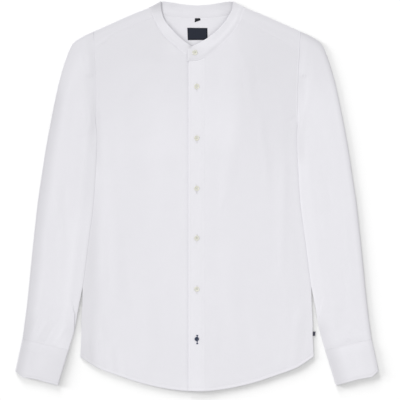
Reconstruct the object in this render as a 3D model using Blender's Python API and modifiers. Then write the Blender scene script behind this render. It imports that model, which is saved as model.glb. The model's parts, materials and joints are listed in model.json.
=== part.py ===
"""Band collar shirt, buttoned up and laid out flat with its front up.

The surface that the shirt lies on is z = 0. +Y runs from the hem to the collar and +X to the
wearer's left side, so the origin is under the middle of the shirt. All tables are in
millimetres and give the wearer's left half, whose mirror image is the right half, unless a
table says otherwise. Every piece of cloth is an open surface with a Solidify wall.
"""

import math
from collections import namedtuple

import bmesh
import bpy
import numpy as np

MM = 0.001

# ---------------------------------------------------------------- driving sizes, millimetres
CLOTH = 1.0  # wall of a single layer of cloth
PLACKET_CLOTH = 1.2  # folded front edge
BAND_CLOTH = 1.4  # collar band with its stiffening
CUFF_CLOTH = 1.5  # cuff with its stiffening
SEAM = 0.3  # free space between two pieces that are sewn together
NECK_EASE = (0.15, -0.35)  # keeps a front's neck edge off the band between their grid points
ARMHOLE_EASE = 0.45  # does the same between a sleeve and the armhole
SLEEVE_LIFT = 0.35  # between a sleeve and the body that it lies on
LAP_STEP = 0.1  # how far below the placket's face the left front meets it
BACK_YOKE_Y = 250.0  # seam between the yoke and the back panel
PLACKET_LEFT, PLACKET_RIGHT = -17.0, 15.0  # free edge and stitched edge of the placket
LAP_END = 14.5  # how far the wearer's right front runs on under the placket
LAP_RISE_RUN = 34.0  # where the left front comes down from the placket
PUFF = 0.7  # air under the front panels
SLEEVE_DEPTH = 3.4  # flattened sleeve, lower face to upper face
CUFF_DEPTH = 4.3
BAND_DEPTH = 4.0  # collar band where it is folded double beside the neck
BAND_LIFT = 0.6  # between the back of the shirt and the band's buttonless end
FLAT_MARGIN = 25.0  # the fronts come down to the back over this width at their edges
NECK_BEND = 0.6  # share of the neck's half width beyond which its edge bends to the shoulder
# A sleeve comes down from the body's edge between these distances from it, at each y.
SLEEVE_STEP = [(-400, 5, 18), (-235, 6, 20), (-200, 16, 32), (400, 16, 32)]
SLEEVE_FOLD_Y = 151.0  # where the sleeve's inner fold starts on the armhole
ARMPIT_TOP_Y = 172.0  # the armhole curves strongly below this
ARMHOLE_BOW = 0.12  # share of the sleeve's length over which its rings follow the armhole
BOW_FADE = 0.15  # share of a ring next to its inner fold where it stops following it

BUTTON_RADIUS = 5.3
LAST_BUTTON_RADIUS = 4.4
BUTTON_HEIGHT = 2.0
BUTTON_RIM = 0.8  # width of the raised rim
BUTTON_DISH = 0.4  # depth of the dished middle
BUTTON_SLOPE = 1.0  # width of the slope from the rim down to the dish
BUTTON_FOOT = 0.85  # radius of the flat underside, as a share of the button's
BUTTON_WAIST = (0.3, 0.65)  # the upright part of its edge, as shares of its height
BUTTON_X = -0.4
BUTTON_YS = (218.9, 115.7, 15.5, -83.9, -185.5, -285.1)
COLLAR_BUTTON = (-4.2, 286.5)

LABEL = (-21.0, 311.0, 23.0, 337.5)  # neck label: left, bottom, right, top
TAB_X = (-5.2, 7.2)  # size tab, cut off at a slant
TAB_TOP = 356.4
TAB_BOTTOM = (347.4, 351.4)
TAG = (231.7, -280.5, 236.8, -271.0)  # side tag: left, bottom, right, top
TRIM_CLOTH = 1.0

# Heights that follow from the walls.
BACK_TOP = CLOTH
FRONT_LOW = BACK_TOP + SEAM + CLOTH  # upper face of a front panel that lies on the back
FRONT_HIGH = FRONT_LOW + PUFF
PLACKET_TOP = FRONT_LOW + SEAM + PLACKET_CLOTH
SLEEVE_ON_BODY = FRONT_LOW + SLEEVE_LIFT  # lower face of a sleeve that lies on the body
UNDER_LAP_TOP = BACK_TOP + BAND_LIFT + BAND_CLOTH  # the band's buttonless end
OVER_LAP_TOP = UNDER_LAP_TOP + SEAM + BAND_CLOTH  # the band's end that laps over it

# ---------------------------------------------------------------- outlines, (x, y)
HEM = [(0, -389.7), (33, -388.2), (73, -382.2), (113, -372.8), (153, -359.8), (193, -345.4),
       (213, -334.4), (227, -324.8), (233, -320.8)]
SIDE_SEAM = [(233, -320.8), (232, -300), (231, -276), (231, -250), (229, -209), (229, -120),
             (231, -20), (235, 70), (239, 120)]
ARMHOLE = [(239, 120), (219, 125), (206, 137), (202, 155), (200.6, 195), (202.2, 250),
           (204.6, 290), (207, 329)]
SHOULDER = [(96, 376.6), (129, 363.6), (165, 347.6), (207, 329)]
BACK_NECK = [(0, 357), (30, 358), (60, 361.5), (84, 368.8), (96, 376.6)]

# Front seam of the yoke, from the collar band to the armhole.
YOKE_SEAM = {
    "left": [(86.2, 351), (99, 346.5), (133, 325), (177, 303), (204.3, 285)],
    "right": [(87.4, 354), (109, 346), (129, 337), (169, 319), (204.7, 291)],
}

# Collar band, from the side of the neck to its end at the front: a row is one place along the
# band, with its seam edge, its free top edge and how far the top edge stands up.
Band = namedtuple("Band", "seam_x seam_y top_x top_y stand")
BAND_LEFT = [
    Band(96, 376.6, 71.5, 389.7, 0.0),
    Band(90, 362, 70.0, 374.0, 0.3),
    Band(84, 345, 64.0, 361.0, 0.5),
    Band(72, 327, 54.0, 346.0, 0.5),
    Band(57, 310.5, 40.0, 331.0, 0.3),
    Band(40, 295, 24.0, 318.0, 0.1),
    Band(22, 281, 7.0, 307.5, 0.0),
    Band(5, 272.5, -4.0, 302.0, 0.0),
    Band(-9, 270.3, -11.0, 298.5, 0.0),
    Band(-19.5, 270, -18.8, 292.0, 0.0),
]
# The right half in its own mirrored x, so that its end under the lap has a negative x.
BAND_RIGHT = [
    Band(96, 376.6, 72.0, 389.7, 0.0),
    Band(90, 362, 71.0, 373.0, 0.8),
    Band(84, 349, 67.0, 357.0, 1.2),
    Band(76, 334, 59.0, 343.5, 1.2),
    Band(62, 316, 47.0, 329.5, 1.0),
    Band(47, 302.5, 34.0, 316.5, 0.6),
    Band(31, 289.5, 21.0, 306.0, 0.2),
    Band(18, 281.5, 10.0, 299.5, 0.0),
    Band(5, 277.4, 2.0, 297.0, 0.0),
    Band(-8, 276.8, -8.0, 296.5, 0.0),
    Band(-17, 278.2, -15.5, 297.5, 0.0),
]
# The back of the band, from the side of the neck to the middle.
BAND_BACK = [
    Band(96, 376.6, 71.7, 389.7, 0.0),
    Band(84, 368.8, 62.0, 388.6, 0.0),
    Band(60, 361.5, 47.0, 386.4, 0.0),
    Band(30, 358, 25.0, 383.0, 0.0),
    Band(0, 357, 0.0, 381.0, 0.0),
]

# Flattened sleeve, from the armhole to the cuff: its outer fold and its inner fold.
Sleeve = namedtuple("Sleeve", "outer_x outer_y inner_x inner_y")
SLEEVE = [
    Sleeve(207.3, 329, 200.8, SLEEVE_FOLD_Y),
    Sleeve(229.5, 318.3, 200.5, 141),
    Sleeve(249, 303.5, 200.2, 132),
    Sleeve(263, 271, 200.0, 124),
    Sleeve(275, 231, 200.0, 110),
    Sleeve(284, 191, 200.2, 94),
    Sleeve(292, 151, 201.0, 76),
    Sleeve(303, 91, 203.0, 40),
    Sleeve(311, 38, 205.5, 0),
    Sleeve(318, -9, 210.0, -42),
    Sleeve(324, -62, 216.0, -85),
    Sleeve(329, -109, 221.0, -125),
    Sleeve(334, -160, 228.0, -178),
    Sleeve(339, -209, 237.0, -224),
    Sleeve(344, -249, 245.0, -268),
    Sleeve(349, -285, 256.0, -307),
]
CUFF_SEAM = Sleeve(349.1, -285.4, 256.1, -307.4)
CUFF_EDGE = Sleeve(363.2, -350, 277.5, -378)
# How far the cuff's edge runs past the straight line between its corners.
CUFF_EDGE_BOW = [(0.0, 0.0), (0.16, 6.5), (0.5, 2.2), (0.75, 1.4), (1.0, 0.0)]

# ---------------------------------------------------------------- folds in the cloth
# A soft ridge of the front panels from one point to another; x is signed here.
Fold = namedtuple("Fold", "x0 y0 x1 y1 width height")
FOLDS = [
    Fold(92, 285, 120, 130, 9, 1.3),
    Fold(124, 165, 143, 20, 9, 1.0),
    Fold(176, 100, 168, -150, 10, 1.0),
    Fold(72, 130, 52, -40, 13, 0.8),
    Fold(60, -120, 84, -330, 16, 0.7),
    Fold(205, -225, 190, -330, 11, 0.9),
    Fold(-150, 255, -140, 60, 20, 0.9),
    Fold(-62, 210, -72, -110, 22, 0.8),
    Fold(-168, 20, -160, -220, 13, 0.9),
    Fold(-198, -235, -176, -345, 10, 1.1),
    Fold(-100, -160, -92, -350, 16, 0.6),
]
FOLD_OVERRUN = 0.15  # share of its length by which a fold runs on past its two ends
FOLD_FADE = 0.4  # share of its length over which it then rises to its full height
# A ridge along a sleeve: start and end are fractions of its length, across runs from the
# outer fold (0) to the inner one (1), and drift is how much across changes on the way.
Ridge = namedtuple("Ridge", "start end across drift width height")
RIDGES = {
    "left": [Ridge(0.02, 0.45, 0.62, 0.10, 0.10, 1.0), Ridge(0.30, 0.80, 0.80, -0.06, 0.08, 1.2),
             Ridge(0.45, 0.95, 0.34, 0.08, 0.12, 0.9), Ridge(0.86, 1.02, 0.55, 0.05, 0.10, 1.0)],
    "right": [Ridge(0.02, 0.38, 0.60, 0.12, 0.09, 1.1), Ridge(0.28, 0.70, 0.36, 0.08, 0.08, 1.3),
              Ridge(0.48, 0.95, 0.66, -0.10, 0.10, 1.1), Ridge(0.84, 1.02, 0.40, 0.05, 0.09, 1.0)],
}
RIDGE_FADE = 0.35  # share of a ridge's length over which it rises at either end
# The fronts stay flat under the sleeves: the largest |x| that is free of them at each y.
FREE_X = [(-400, 234), (-216, 232), (-206, 226), (-169, 216), (-109, 209), (0, 197),
          (90, 191), (150, 194), (178, 242), (400, 242)]

# ---------------------------------------------------------------- finishes
WHITE = (0.83, 0.83, 0.86)
IVORY = (0.80, 0.77, 0.68)
NAVY = (0.03, 0.04, 0.09)
BLACK = (0.02, 0.02, 0.025)
CLOTH_ROUGHNESS = 0.9
BUTTON_ROUGHNESS = 0.35


# ---------------------------------------------------------------- curves in the plane
def smooth(points, steps=10):
    """A fine polyline through the points, as a Catmull-Rom curve."""
    p = np.array(points, float)
    p = np.vstack([2 * p[0] - p[1], p, 2 * p[-1] - p[-2]])
    line = []
    for i in range(1, len(p) - 2):
        for t in np.arange(steps) / steps:
            line.append(0.5 * (2 * p[i] + (p[i + 1] - p[i - 1]) * t
                               + (2 * p[i - 1] - 5 * p[i] + 4 * p[i + 1] - p[i + 2]) * t ** 2
                               + (3 * p[i] - p[i - 1] - 3 * p[i + 1] + p[i + 2]) * t ** 3))
    line.append(p[-2])
    return np.array(line)


def at(line, t):
    """The point at the fraction t of a polyline's length; only x and y count as length."""
    steps = np.linalg.norm(np.diff(line[:, :2], axis=0), axis=1)
    length = np.concatenate([[0.0], np.cumsum(steps)])
    return np.array([np.interp(t * length[-1], length, line[:, k])
                     for k in range(line.shape[1])])


def beyond_x(line, x):
    """The part of a polyline with larger x than the given one; x grows along the line."""
    first = [x, np.interp(x, line[:, 0], line[:, 1])]
    return np.vstack([first, line[line[:, 0] > x + 0.5]])


def below_y(line, y):
    """The part of a polyline that lies below y; y grows along the line."""
    last = [np.interp(y, line[:, 1], line[:, 0]), y]
    return np.vstack([line[line[:, 1] < y - 0.5], last])


def mirrored(line):
    """The line on the other side of the shirt, run through in the same direction of x."""
    return (np.array(line) * (-1, 1))[::-1]


def smoothstep(t):
    t = min(max(t, 0.0), 1.0)
    return t * t * (3 - 2 * t)


def right_of(step):
    """The unit vector to the right of a step in the plane."""
    return np.array([step[1], -step[0]]) / np.hypot(step[0], step[1])


def right_of_line(line, t, reach=0.02):
    """The unit vector to the right of a polyline at the fraction t of its length."""
    return right_of(at(line, min(t + reach, 1)) - at(line, max(t - reach, 0)))


def edge(*legs):
    """A panel's edge made of (line, steps) legs: each gets its own number of grid steps."""
    total = sum(steps for _line, steps in legs)

    def point(t):
        step = t * total
        for line, steps in legs:
            if step <= steps + 1e-6:
                return at(line, min(step / steps, 1.0))
            step -= steps
        return legs[-1][0][-1]

    return point


def patch(bottom, top, left, right):
    """A Coons patch: the surface between four edges, as a function of (u, v)."""

    def point(u, v):
        ruled = (1 - v) * bottom(u) + v * top(u) + (1 - u) * left(v) + u * right(v)
        corner = ((1 - u) * (1 - v) * bottom(0) + u * (1 - v) * bottom(1)
                  + (1 - u) * v * top(0) + u * v * top(1))
        return ruled - corner

    return point


HEM_LINE = np.vstack([mirrored(smooth(HEM))[:-1], smooth(HEM)])
SIDE_LINE = smooth(SIDE_SEAM)
ARMHOLE_LINE = smooth(ARMHOLE) - (SEAM / 2, 0)
SHOULDER_LINE = smooth(SHOULDER)


def band_seam(rows):
    """The neck seam of one front, from the middle of the shirt to the shoulder."""
    return smooth([(row.seam_x, row.seam_y) for row in reversed(rows)])


# ---------------------------------------------------------------- heights
def fold_height(fold, x, y):
    """A ridge that is round across and fades out at both ends."""
    along = np.array([fold.x1 - fold.x0, fold.y1 - fold.y0])
    length = np.linalg.norm(along)
    along = along / length
    off = np.array([x - fold.x0, y - fold.y0])
    t = float(off @ along) / length
    across = float(off[0] * along[1] - off[1] * along[0])
    fade = smoothstep((t + FOLD_OVERRUN) / FOLD_FADE)
    fade *= smoothstep((1 + FOLD_OVERRUN - t) / FOLD_FADE)
    return fold.height * fade * math.exp(-(across / fold.width) ** 2)


def front_top(x, y):
    """The height of the front panels' upper face."""
    free_x = np.interp(y, *zip(*FREE_X))
    room = smoothstep((free_x - abs(x)) / FLAT_MARGIN)
    hem_y = np.interp(abs(x), HEM_LINE[:, 0], HEM_LINE[:, 1])
    room *= smoothstep((y - hem_y) / FLAT_MARGIN)
    if x < PLACKET_RIGHT:
        room *= smoothstep((PLACKET_LEFT - 2 - x) / FLAT_MARGIN)
    height = FRONT_LOW + room * (PUFF + sum(fold_height(fold, x, y) for fold in FOLDS))
    if x > PLACKET_RIGHT:
        lap = PLACKET_TOP - FRONT_LOW - LAP_STEP
        height += (lap - room * PUFF) * (1 - smoothstep((x - PLACKET_RIGHT) / LAP_RISE_RUN))
    return height


LOW_ARMHOLE = below_y(ARMHOLE_LINE, SLEEVE_FOLD_Y)  # the part that lies under the sleeve
BODY_EDGE = np.vstack([SIDE_LINE, LOW_ARMHOLE[1:]])


def sleeve_ground(x, y):
    """What a sleeve lies on: the body inside the side seam and armhole, else the surface."""
    side_x = np.interp(y, SIDE_LINE[:, 1], SIDE_LINE[:, 0])
    arm_y = np.interp(x, LOW_ARMHOLE[::-1, 0], LOW_ARMHOLE[::-1, 1])
    if x <= side_x and y <= arm_y:
        return SLEEVE_ON_BODY
    outside = np.min(np.linalg.norm(BODY_EDGE - (x, y), axis=1))
    step_y, step_near, step_far = zip(*SLEEVE_STEP)
    near, far = np.interp(y, step_y, step_near), np.interp(y, step_y, step_far)
    return SLEEVE_ON_BODY * (1 - smoothstep((outside - near) / (far - near)))


# ---------------------------------------------------------------- meshes
def material(name, colour, roughness):
    finish = bpy.data.materials.new(name)
    finish.use_nodes = True
    shader = finish.node_tree.nodes["Principled BSDF"]
    shader.inputs["Base Color"].default_value = (*colour, 1)
    shader.inputs["Roughness"].default_value = roughness
    finish.diffuse_color = (*colour, 1)
    return finish


def grid(bm, columns, rows, point):
    """Add a grid whose vertices are point(u, v), u and v from 0 to 1, in millimetres."""
    made = bmesh.ops.create_grid(bm, x_segments=columns, y_segments=rows, size=1)["verts"]
    low = min(v.co.x for v in made)
    span = max(v.co.x for v in made) - low
    for vert in made:
        u, v = (vert.co.x - low) / span, (vert.co.y - low) / span
        vert.co = np.array(point(u, v)) * MM


def cloth(name, grids, wall, colour):
    """An object of one or more grids that share edges, with a wall on its inner side."""
    bm = bmesh.new()
    for columns, rows, point in grids:
        grid(bm, columns, rows, point)
    bmesh.ops.remove_doubles(bm, verts=bm.verts, dist=1e-6)
    mesh = bpy.data.meshes.new(name)
    bm.to_mesh(mesh)
    bm.free()
    mesh.shade_smooth()
    obj = bpy.data.objects.new(name, mesh)
    parts.objects.link(obj)
    obj.data.materials.append(material(name, colour, CLOTH_ROUGHNESS))
    solidify = obj.modifiers.new("wall", "SOLIDIFY")
    solidify.thickness = wall * MM
    solidify.offset = -1


def on_side(side, point):
    """The point function of a wearer's left piece, or its mirror image for the right one."""
    if side == "left":
        return point

    def other(u, v):
        x, y, z = point(1 - u, v)
        return -x, y, z

    return other


def fold_over(outline, inward, depth, angle):
    """A point of a half round fold: angle -90 is its lower end and 90 its upper end."""
    radius = depth / 2
    turn = math.radians(angle)
    x, y = np.array(outline[:2]) + np.array(inward) * radius * (1 - math.cos(turn))
    return x, y, radius * (1 + math.sin(turn))


# ---------------------------------------------------------------- body
def armhole_legs(armhole, low_rows, high_rows):
    """A panel's armhole edge, with its rows closer together round the armpit."""
    low = below_y(armhole, ARMPIT_TOP_Y)
    return (low, low_rows), (np.vstack([low[-1:], armhole[armhole[:, 1] > ARMPIT_TOP_Y]]), high_rows)


def make_back():
    columns, side_rows, low_rows, high_rows = 10, 14, 5, 3
    armhole = below_y(ARMHOLE_LINE, BACK_YOKE_Y - SEAM / 2)
    side = edge((SIDE_LINE, side_rows), *armhole_legs(armhole, low_rows, high_rows))
    top = np.array([(-armhole[-1][0], armhole[-1][1]), armhole[-1]])
    plan = patch(edge((HEM_LINE, columns)), edge((top, columns)),
                 lambda v: side(v) * (-1, 1), side)
    rows = side_rows + low_rows + high_rows
    cloth("back", [(columns, rows, lambda u, v: (*plan(u, v), BACK_TOP))], CLOTH, WHITE)


def make_front(side):
    """One front panel, in the mirrored x of its own side."""
    sign = 1 if side == "left" else -1
    centre = PLACKET_RIGHT + SEAM if side == "left" else -LAP_END
    rows = BAND_LEFT if side == "left" else BAND_RIGHT
    yoke_seam = smooth(YOKE_SEAM[side]) - (0, SEAM / 2)
    neck = beyond_x(band_seam(rows), centre)
    neck = np.vstack([neck[neck[:, 1] < yoke_seam[0][1] - 1] + NECK_EASE, yoke_seam[:1]])
    hem = beyond_x(HEM_LINE, centre)
    armhole = below_y(ARMHOLE_LINE, yoke_seam[-1][1])
    middle = np.array([hem[0], neck[0]])
    neck_columns, yoke_columns, side_rows, low_rows, high_rows = 10, 5, 17, 5, 5
    columns, all_rows = neck_columns + yoke_columns, side_rows + low_rows + high_rows
    plan = patch(edge((hem, columns)), edge((neck, neck_columns), (yoke_seam, yoke_columns)),
                 edge((middle, all_rows)),
                 edge((SIDE_LINE, side_rows), *armhole_legs(armhole, low_rows, high_rows)))

    def point(u, v):
        x, y = plan(u, v)
        return x, y, front_top(sign * x, y)

    cloth("front_" + side, [(columns, all_rows, on_side(side, point))], CLOTH, WHITE)


def make_yoke():
    """Flat behind the neck and shoulders, folded over the shoulders to the front seams."""
    low_rows, fold_rows, front_rows, wing_columns, middle_columns = 3, 4, 3, 8, 12
    rows = low_rows + fold_rows + front_rows
    radius = FRONT_HIGH / 2
    arm_x = at(below_y(ARMHOLE_LINE, BACK_YOKE_Y), 1)[0]
    seam_y = BACK_YOKE_Y + SEAM / 2

    def wing(side):
        front_seam = smooth(YOKE_SEAM[side]) + (0, SEAM / 2)
        sign = 1 if side == "left" else -1

        def point(u, v):
            """u runs from the armhole to the neck and v from the back seam to the front seam."""
            out = 1 - u
            shoulder = at(SHOULDER_LINE, out) - (SEAM / 2 * out, 0)
            inward = right_of_line(SHOULDER_LINE, out)
            row = v * rows
            if row <= low_rows:
                bottom = np.array([SHOULDER[0][0] + out * (arm_x - SHOULDER[0][0]), seam_y])
                x, y = bottom + (shoulder + inward * radius - bottom) * row / low_rows
                return x, y, 0.0
            if row <= low_rows + fold_rows:
                angle = -90 + 180 * (row - low_rows) / fold_rows
                return fold_over(shoulder, inward, FRONT_HIGH, angle)
            end = at(front_seam, out)
            start = shoulder + inward * radius
            part = (row - low_rows - fold_rows) / front_rows
            x, y = start + (end - start) * part
            return x, y, FRONT_HIGH + (front_top(sign * x, y) - FRONT_HIGH) * part

        return point

    def middle(u, v):
        """The part between the shoulders; u runs from the wearer's left to the right."""
        neck_x, neck_y = SHOULDER[0]
        x = neck_x * (1 - 2 * u)
        neck = smooth(BACK_NECK)
        y = np.interp(abs(x), neck[:, 0], neck[:, 1])
        # Near its ends, the neck edge bends to the points where the shoulder folds start.
        to_fold = right_of_line(SHOULDER_LINE, 0) * radius
        to_fold = to_fold * smoothstep((abs(x) / neck_x - NECK_BEND) / (1 - NECK_BEND))
        return (x + math.copysign(1, x) * to_fold[0] * v,
                seam_y + (y + to_fold[1] - seam_y) * v, 0.0)

    def right_wing(u, v):
        x, y, z = wing("right")(1 - u, v)
        return -x, y, z

    grids = [(wing_columns, rows, wing("left")), (middle_columns, low_rows, middle),
             (wing_columns, rows, right_wing)]
    cloth("yoke", grids, CLOTH, WHITE)


def make_placket():
    """A strip from the band to the hem, on the wearer's right front."""
    columns, rows = 4, 14
    width = PLACKET_RIGHT - PLACKET_LEFT
    neck = band_seam(BAND_LEFT)

    def point(u, v):
        x = PLACKET_LEFT + u * width
        hem_y = np.interp(x, HEM_LINE[:, 0], HEM_LINE[:, 1])
        top_y = np.interp(x, neck[:, 0], neck[:, 1]) - SEAM
        return x, hem_y + (top_y - hem_y) * v, PLACKET_TOP

    cloth("placket", [(columns, rows, point)], PLACKET_CLOTH, WHITE)


# ---------------------------------------------------------------- collar band
def make_collar_band():
    """A strip from its under end, round the back of the neck, to its end on top."""
    front_steps, back_steps, rows_across = 15, 12, 3
    Station = namedtuple("Station", "seam top")

    def edges(row):
        """The row's two points, the first one moved off the seam line."""
        seam, top = np.array([row.seam_x, row.seam_y]), np.array([row.top_x, row.top_y])
        return seam + SEAM * (top - seam) / np.linalg.norm(top - seam), top

    def station(row, sign, height):
        seam, top = edges(row)
        return Station(np.array([sign * seam[0], seam[1], height]),
                       np.array([sign * top[0], top[1], height + row.stand]))

    def front(rows, sign, end_height):
        """Stations from the side of the neck to the front end."""
        line = smooth([tuple(row) for row in rows])
        made = []
        for i in range(1, front_steps + 1):
            t = i / front_steps
            height = BAND_DEPTH + (end_height - BAND_DEPTH) * smoothstep(t)
            made.append(station(Band(*at(line, t)), sign, height))
        return made

    def turn(rows, sign):
        """Stations round the fold beside the neck, from the upper layer to the lower one."""
        seam, top = edges(rows[0])
        inward = right_of(seam - top)
        made = []
        for angle in (90, 45, 0, -45, -90):
            pair = [np.array(fold_over(p, inward, BAND_DEPTH, angle)) for p in (seam, top)]
            made.append(Station(*[p * (sign, 1, 1) for p in pair]))
        return made

    def back():
        """Stations across the back, from the wearer's right to the left."""
        half = smooth([tuple(row) for row in BAND_BACK])
        made = []
        for i in range(1, back_steps):
            t = 2 * i / back_steps - 1
            made.append(station(Band(*at(half, 1 - abs(t))), -1 if t < 0 else 1, 0.0))
        return made

    stations = (front(BAND_RIGHT, -1, UNDER_LAP_TOP)[::-1] + turn(BAND_RIGHT, -1)
                + back() + turn(BAND_LEFT, 1)[::-1] + front(BAND_LEFT, 1, OVER_LAP_TOP))
    last = len(stations) - 1

    def point(u, v):
        here = stations[round(u * last)]
        return here.top + (here.seam - here.top) * v

    cloth("collar_band", [(last, rows_across, point)], BAND_CLOTH, WHITE)


# ---------------------------------------------------------------- sleeves and cuffs
def ring_stations(upper, fold, lower):
    """Places round a flattened tube, from the outer fold over the upper wall and back.

    A station is (across, out, lift): how far across the flat walls it is, how far it stands
    out at a fold in fold radii, and its height as a fraction of the tube's depth.
    """
    places = [(i / upper, 0.0, 1.0) for i in range(upper)]
    for i in range(fold):
        turn = math.pi * i / fold
        places.append((1.0, math.sin(turn), (1 + math.cos(turn)) / 2))
    places += [(1 - i / lower, 0.0, 0.0) for i in range(lower)]
    for i in range(fold):
        turn = math.pi * i / fold
        places.append((0.0, -math.sin(turn), (1 - math.cos(turn)) / 2))
    return places + places[:1]


def on_tube(rings, along, place, depth):
    """The (x, y) of a station of the ring at a fraction of a flattened tube's length.

    rings(t) gives the outer and inner fold points. Each fold is round across its own line.
    """
    across, out, _lift = place
    ring, reach = rings(along), 0.01
    ahead = rings(min(along + reach, 1)) - rings(max(along - reach, 0))
    radius = depth / 2
    outer = ring[:2] + right_of(ahead[:2]) * radius * (1 + min(out, 0))
    inner = ring[2:] - right_of(ahead[2:]) * radius * (1 - max(out, 0))
    return outer + (inner - outer) * across


def sleeve_ridges(side, along, across):
    height = 0.0
    for ridge in RIDGES[side]:
        part = (along - ridge.start) / (ridge.end - ridge.start)
        middle = ridge.across + ridge.drift * (part - 0.5)
        fade = smoothstep(part / RIDGE_FADE) * smoothstep((1 - part) / RIDGE_FADE)
        height += ridge.height * fade * math.exp(-((across - middle) / ridge.width) ** 2)
    return height * math.sqrt(math.sin(math.pi * across))


def make_sleeve(side):
    places = ring_stations(upper=11, fold=3, lower=9)
    rows = 20
    line = smooth([tuple(row) for row in SLEEVE])

    def rings(along):
        return at(line, along)

    def point(u, v):
        place = places[round(u * (len(places) - 1))]
        across, _out, lift = place
        x, y = on_tube(rings, v, place, SLEEVE_DEPTH)
        # The first ring follows the armhole, and the next ones less and less.
        first_x, first_y = on_tube(rings, 0, place, SLEEVE_DEPTH)
        bow = np.interp(first_y, ARMHOLE_LINE[:, 1], ARMHOLE_LINE[:, 0]) + ARMHOLE_EASE - first_x
        bow *= smoothstep((1 - across) / BOW_FADE)
        x += bow * (1 - smoothstep(v / ARMHOLE_BOW))
        relief = sleeve_ridges(side, v, across) if lift == 1 and across > 0 else 0
        return x, y, sleeve_ground(x, y) + lift * SLEEVE_DEPTH + relief

    cloth("sleeve_" + side, [(len(places) - 1, rows, on_side(side, point))], CLOTH, WHITE)


def make_cuff(side):
    places = ring_stations(upper=9, fold=3, lower=9)
    rows = 4
    axis = np.array(CUFF_EDGE[:2]) - np.array(CUFF_SEAM[:2])
    axis = axis / np.linalg.norm(axis)

    def rings(along):
        return np.array(CUFF_SEAM) + (np.array(CUFF_EDGE) - np.array(CUFF_SEAM)) * along

    def point(u, v):
        place = places[round(u * (len(places) - 1))]
        bow = np.interp(place[0], *zip(*CUFF_EDGE_BOW))
        x, y = on_tube(rings, v, place, CUFF_DEPTH) + axis * v * bow
        return x, y, place[2] * CUFF_DEPTH

    cloth("cuff_" + side, [(len(places) - 1, rows, on_side(side, point))], CUFF_CLOTH, WHITE)


# ---------------------------------------------------------------- buttons and labels
def make_button(name, x, y, rests_at, colour=IVORY, r=BUTTON_RADIUS):
    """A turned disc with a raised rim and a dished middle."""
    h, steps = BUTTON_HEIGHT, 14
    waist_low, waist_high = BUTTON_WAIST
    dish = r - BUTTON_RIM - BUTTON_SLOPE
    profile = [(0, h - BUTTON_DISH), (dish, h - BUTTON_DISH), (r - BUTTON_RIM, h),
               (r, h * waist_high), (r, h * waist_low), (r * BUTTON_FOOT, 0), (0, 0)]
    mesh = bpy.data.meshes.new(name)
    points = [(px * MM, 0, pz * MM) for px, pz in profile]
    mesh.from_pydata(points, [(i, i + 1) for i in range(len(points) - 1)], [])
    button = bpy.data.objects.new(name, mesh)
    parts.objects.link(button)
    button.location = (x * MM, y * MM, rests_at * MM)
    button.data.materials.append(material(name, colour, BUTTON_ROUGHNESS))
    screw = button.modifiers.new("turn", "SCREW")
    screw.steps = steps
    screw.render_steps = steps
    screw.use_merge_vertices = True
    screw.merge_threshold = 0.00001


def make_buttons():
    x, y = COLLAR_BUTTON
    make_button("collar_button", x, y, OVER_LAP_TOP + SEAM)
    rests_at = PLACKET_TOP + SEAM
    for number, y in enumerate(BUTTON_YS[:-1], start=1):
        make_button(f"front_button_{number}", BUTTON_X, y, rests_at)
    last = f"front_button_{len(BUTTON_YS)}"
    make_button(last, BUTTON_X, BUTTON_YS[-1], rests_at, NAVY, LAST_BUTTON_RADIUS)


def make_trim():
    """The neck label, the size tab above it and the tag in the side seam, all blank."""
    lies_on = BACK_TOP + SEAM

    def rectangle(left, bottom, right, top, height):
        return lambda u, v: (left + (right - left) * u, bottom + (top - bottom) * v, height)

    def tab(u, v):
        bottom = TAB_BOTTOM[0] + (TAB_BOTTOM[1] - TAB_BOTTOM[0]) * u
        return (TAB_X[0] + (TAB_X[1] - TAB_X[0]) * u, bottom + (TAB_TOP - bottom) * v,
                lies_on + TRIM_CLOTH)

    cloth("neck_label", [(4, 3, rectangle(*LABEL, lies_on + TRIM_CLOTH))], TRIM_CLOTH, NAVY)
    cloth("size_tab", [(2, 2, tab)], TRIM_CLOTH, BLACK)
    cloth("side_tag", [(2, 2, rectangle(*TAG, TRIM_CLOTH))], TRIM_CLOTH, NAVY)


for old in list(bpy.data.objects):
    bpy.data.objects.remove(old, do_unlink=True)
parts = bpy.data.collections.new("mandarin collar shirt")
bpy.context.scene.collection.children.link(parts)

make_back()
make_yoke()
for wearer_side in ("left", "right"):
    make_front(wearer_side)
    make_sleeve(wearer_side)
    make_cuff(wearer_side)
make_placket()
make_collar_band()
make_buttons()
make_trim()
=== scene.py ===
# %% [markdown]
# # A band collar shirt, laid out flat
#
# The solids of this shirt are already packed: a back, two fronts, a yoke, a placket, a collar
# band, two sleeves and two cuffs, with buttons and labels. They have the right size and place,
# but they are plain. This script dresses them: each cloth solid gets a finer shell on the same
# form, with creases, seams, stitches and a woven finish. The frame says where everything lies,
# so nothing is fitted by eye.

# %% Load the frame
import json

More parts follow.
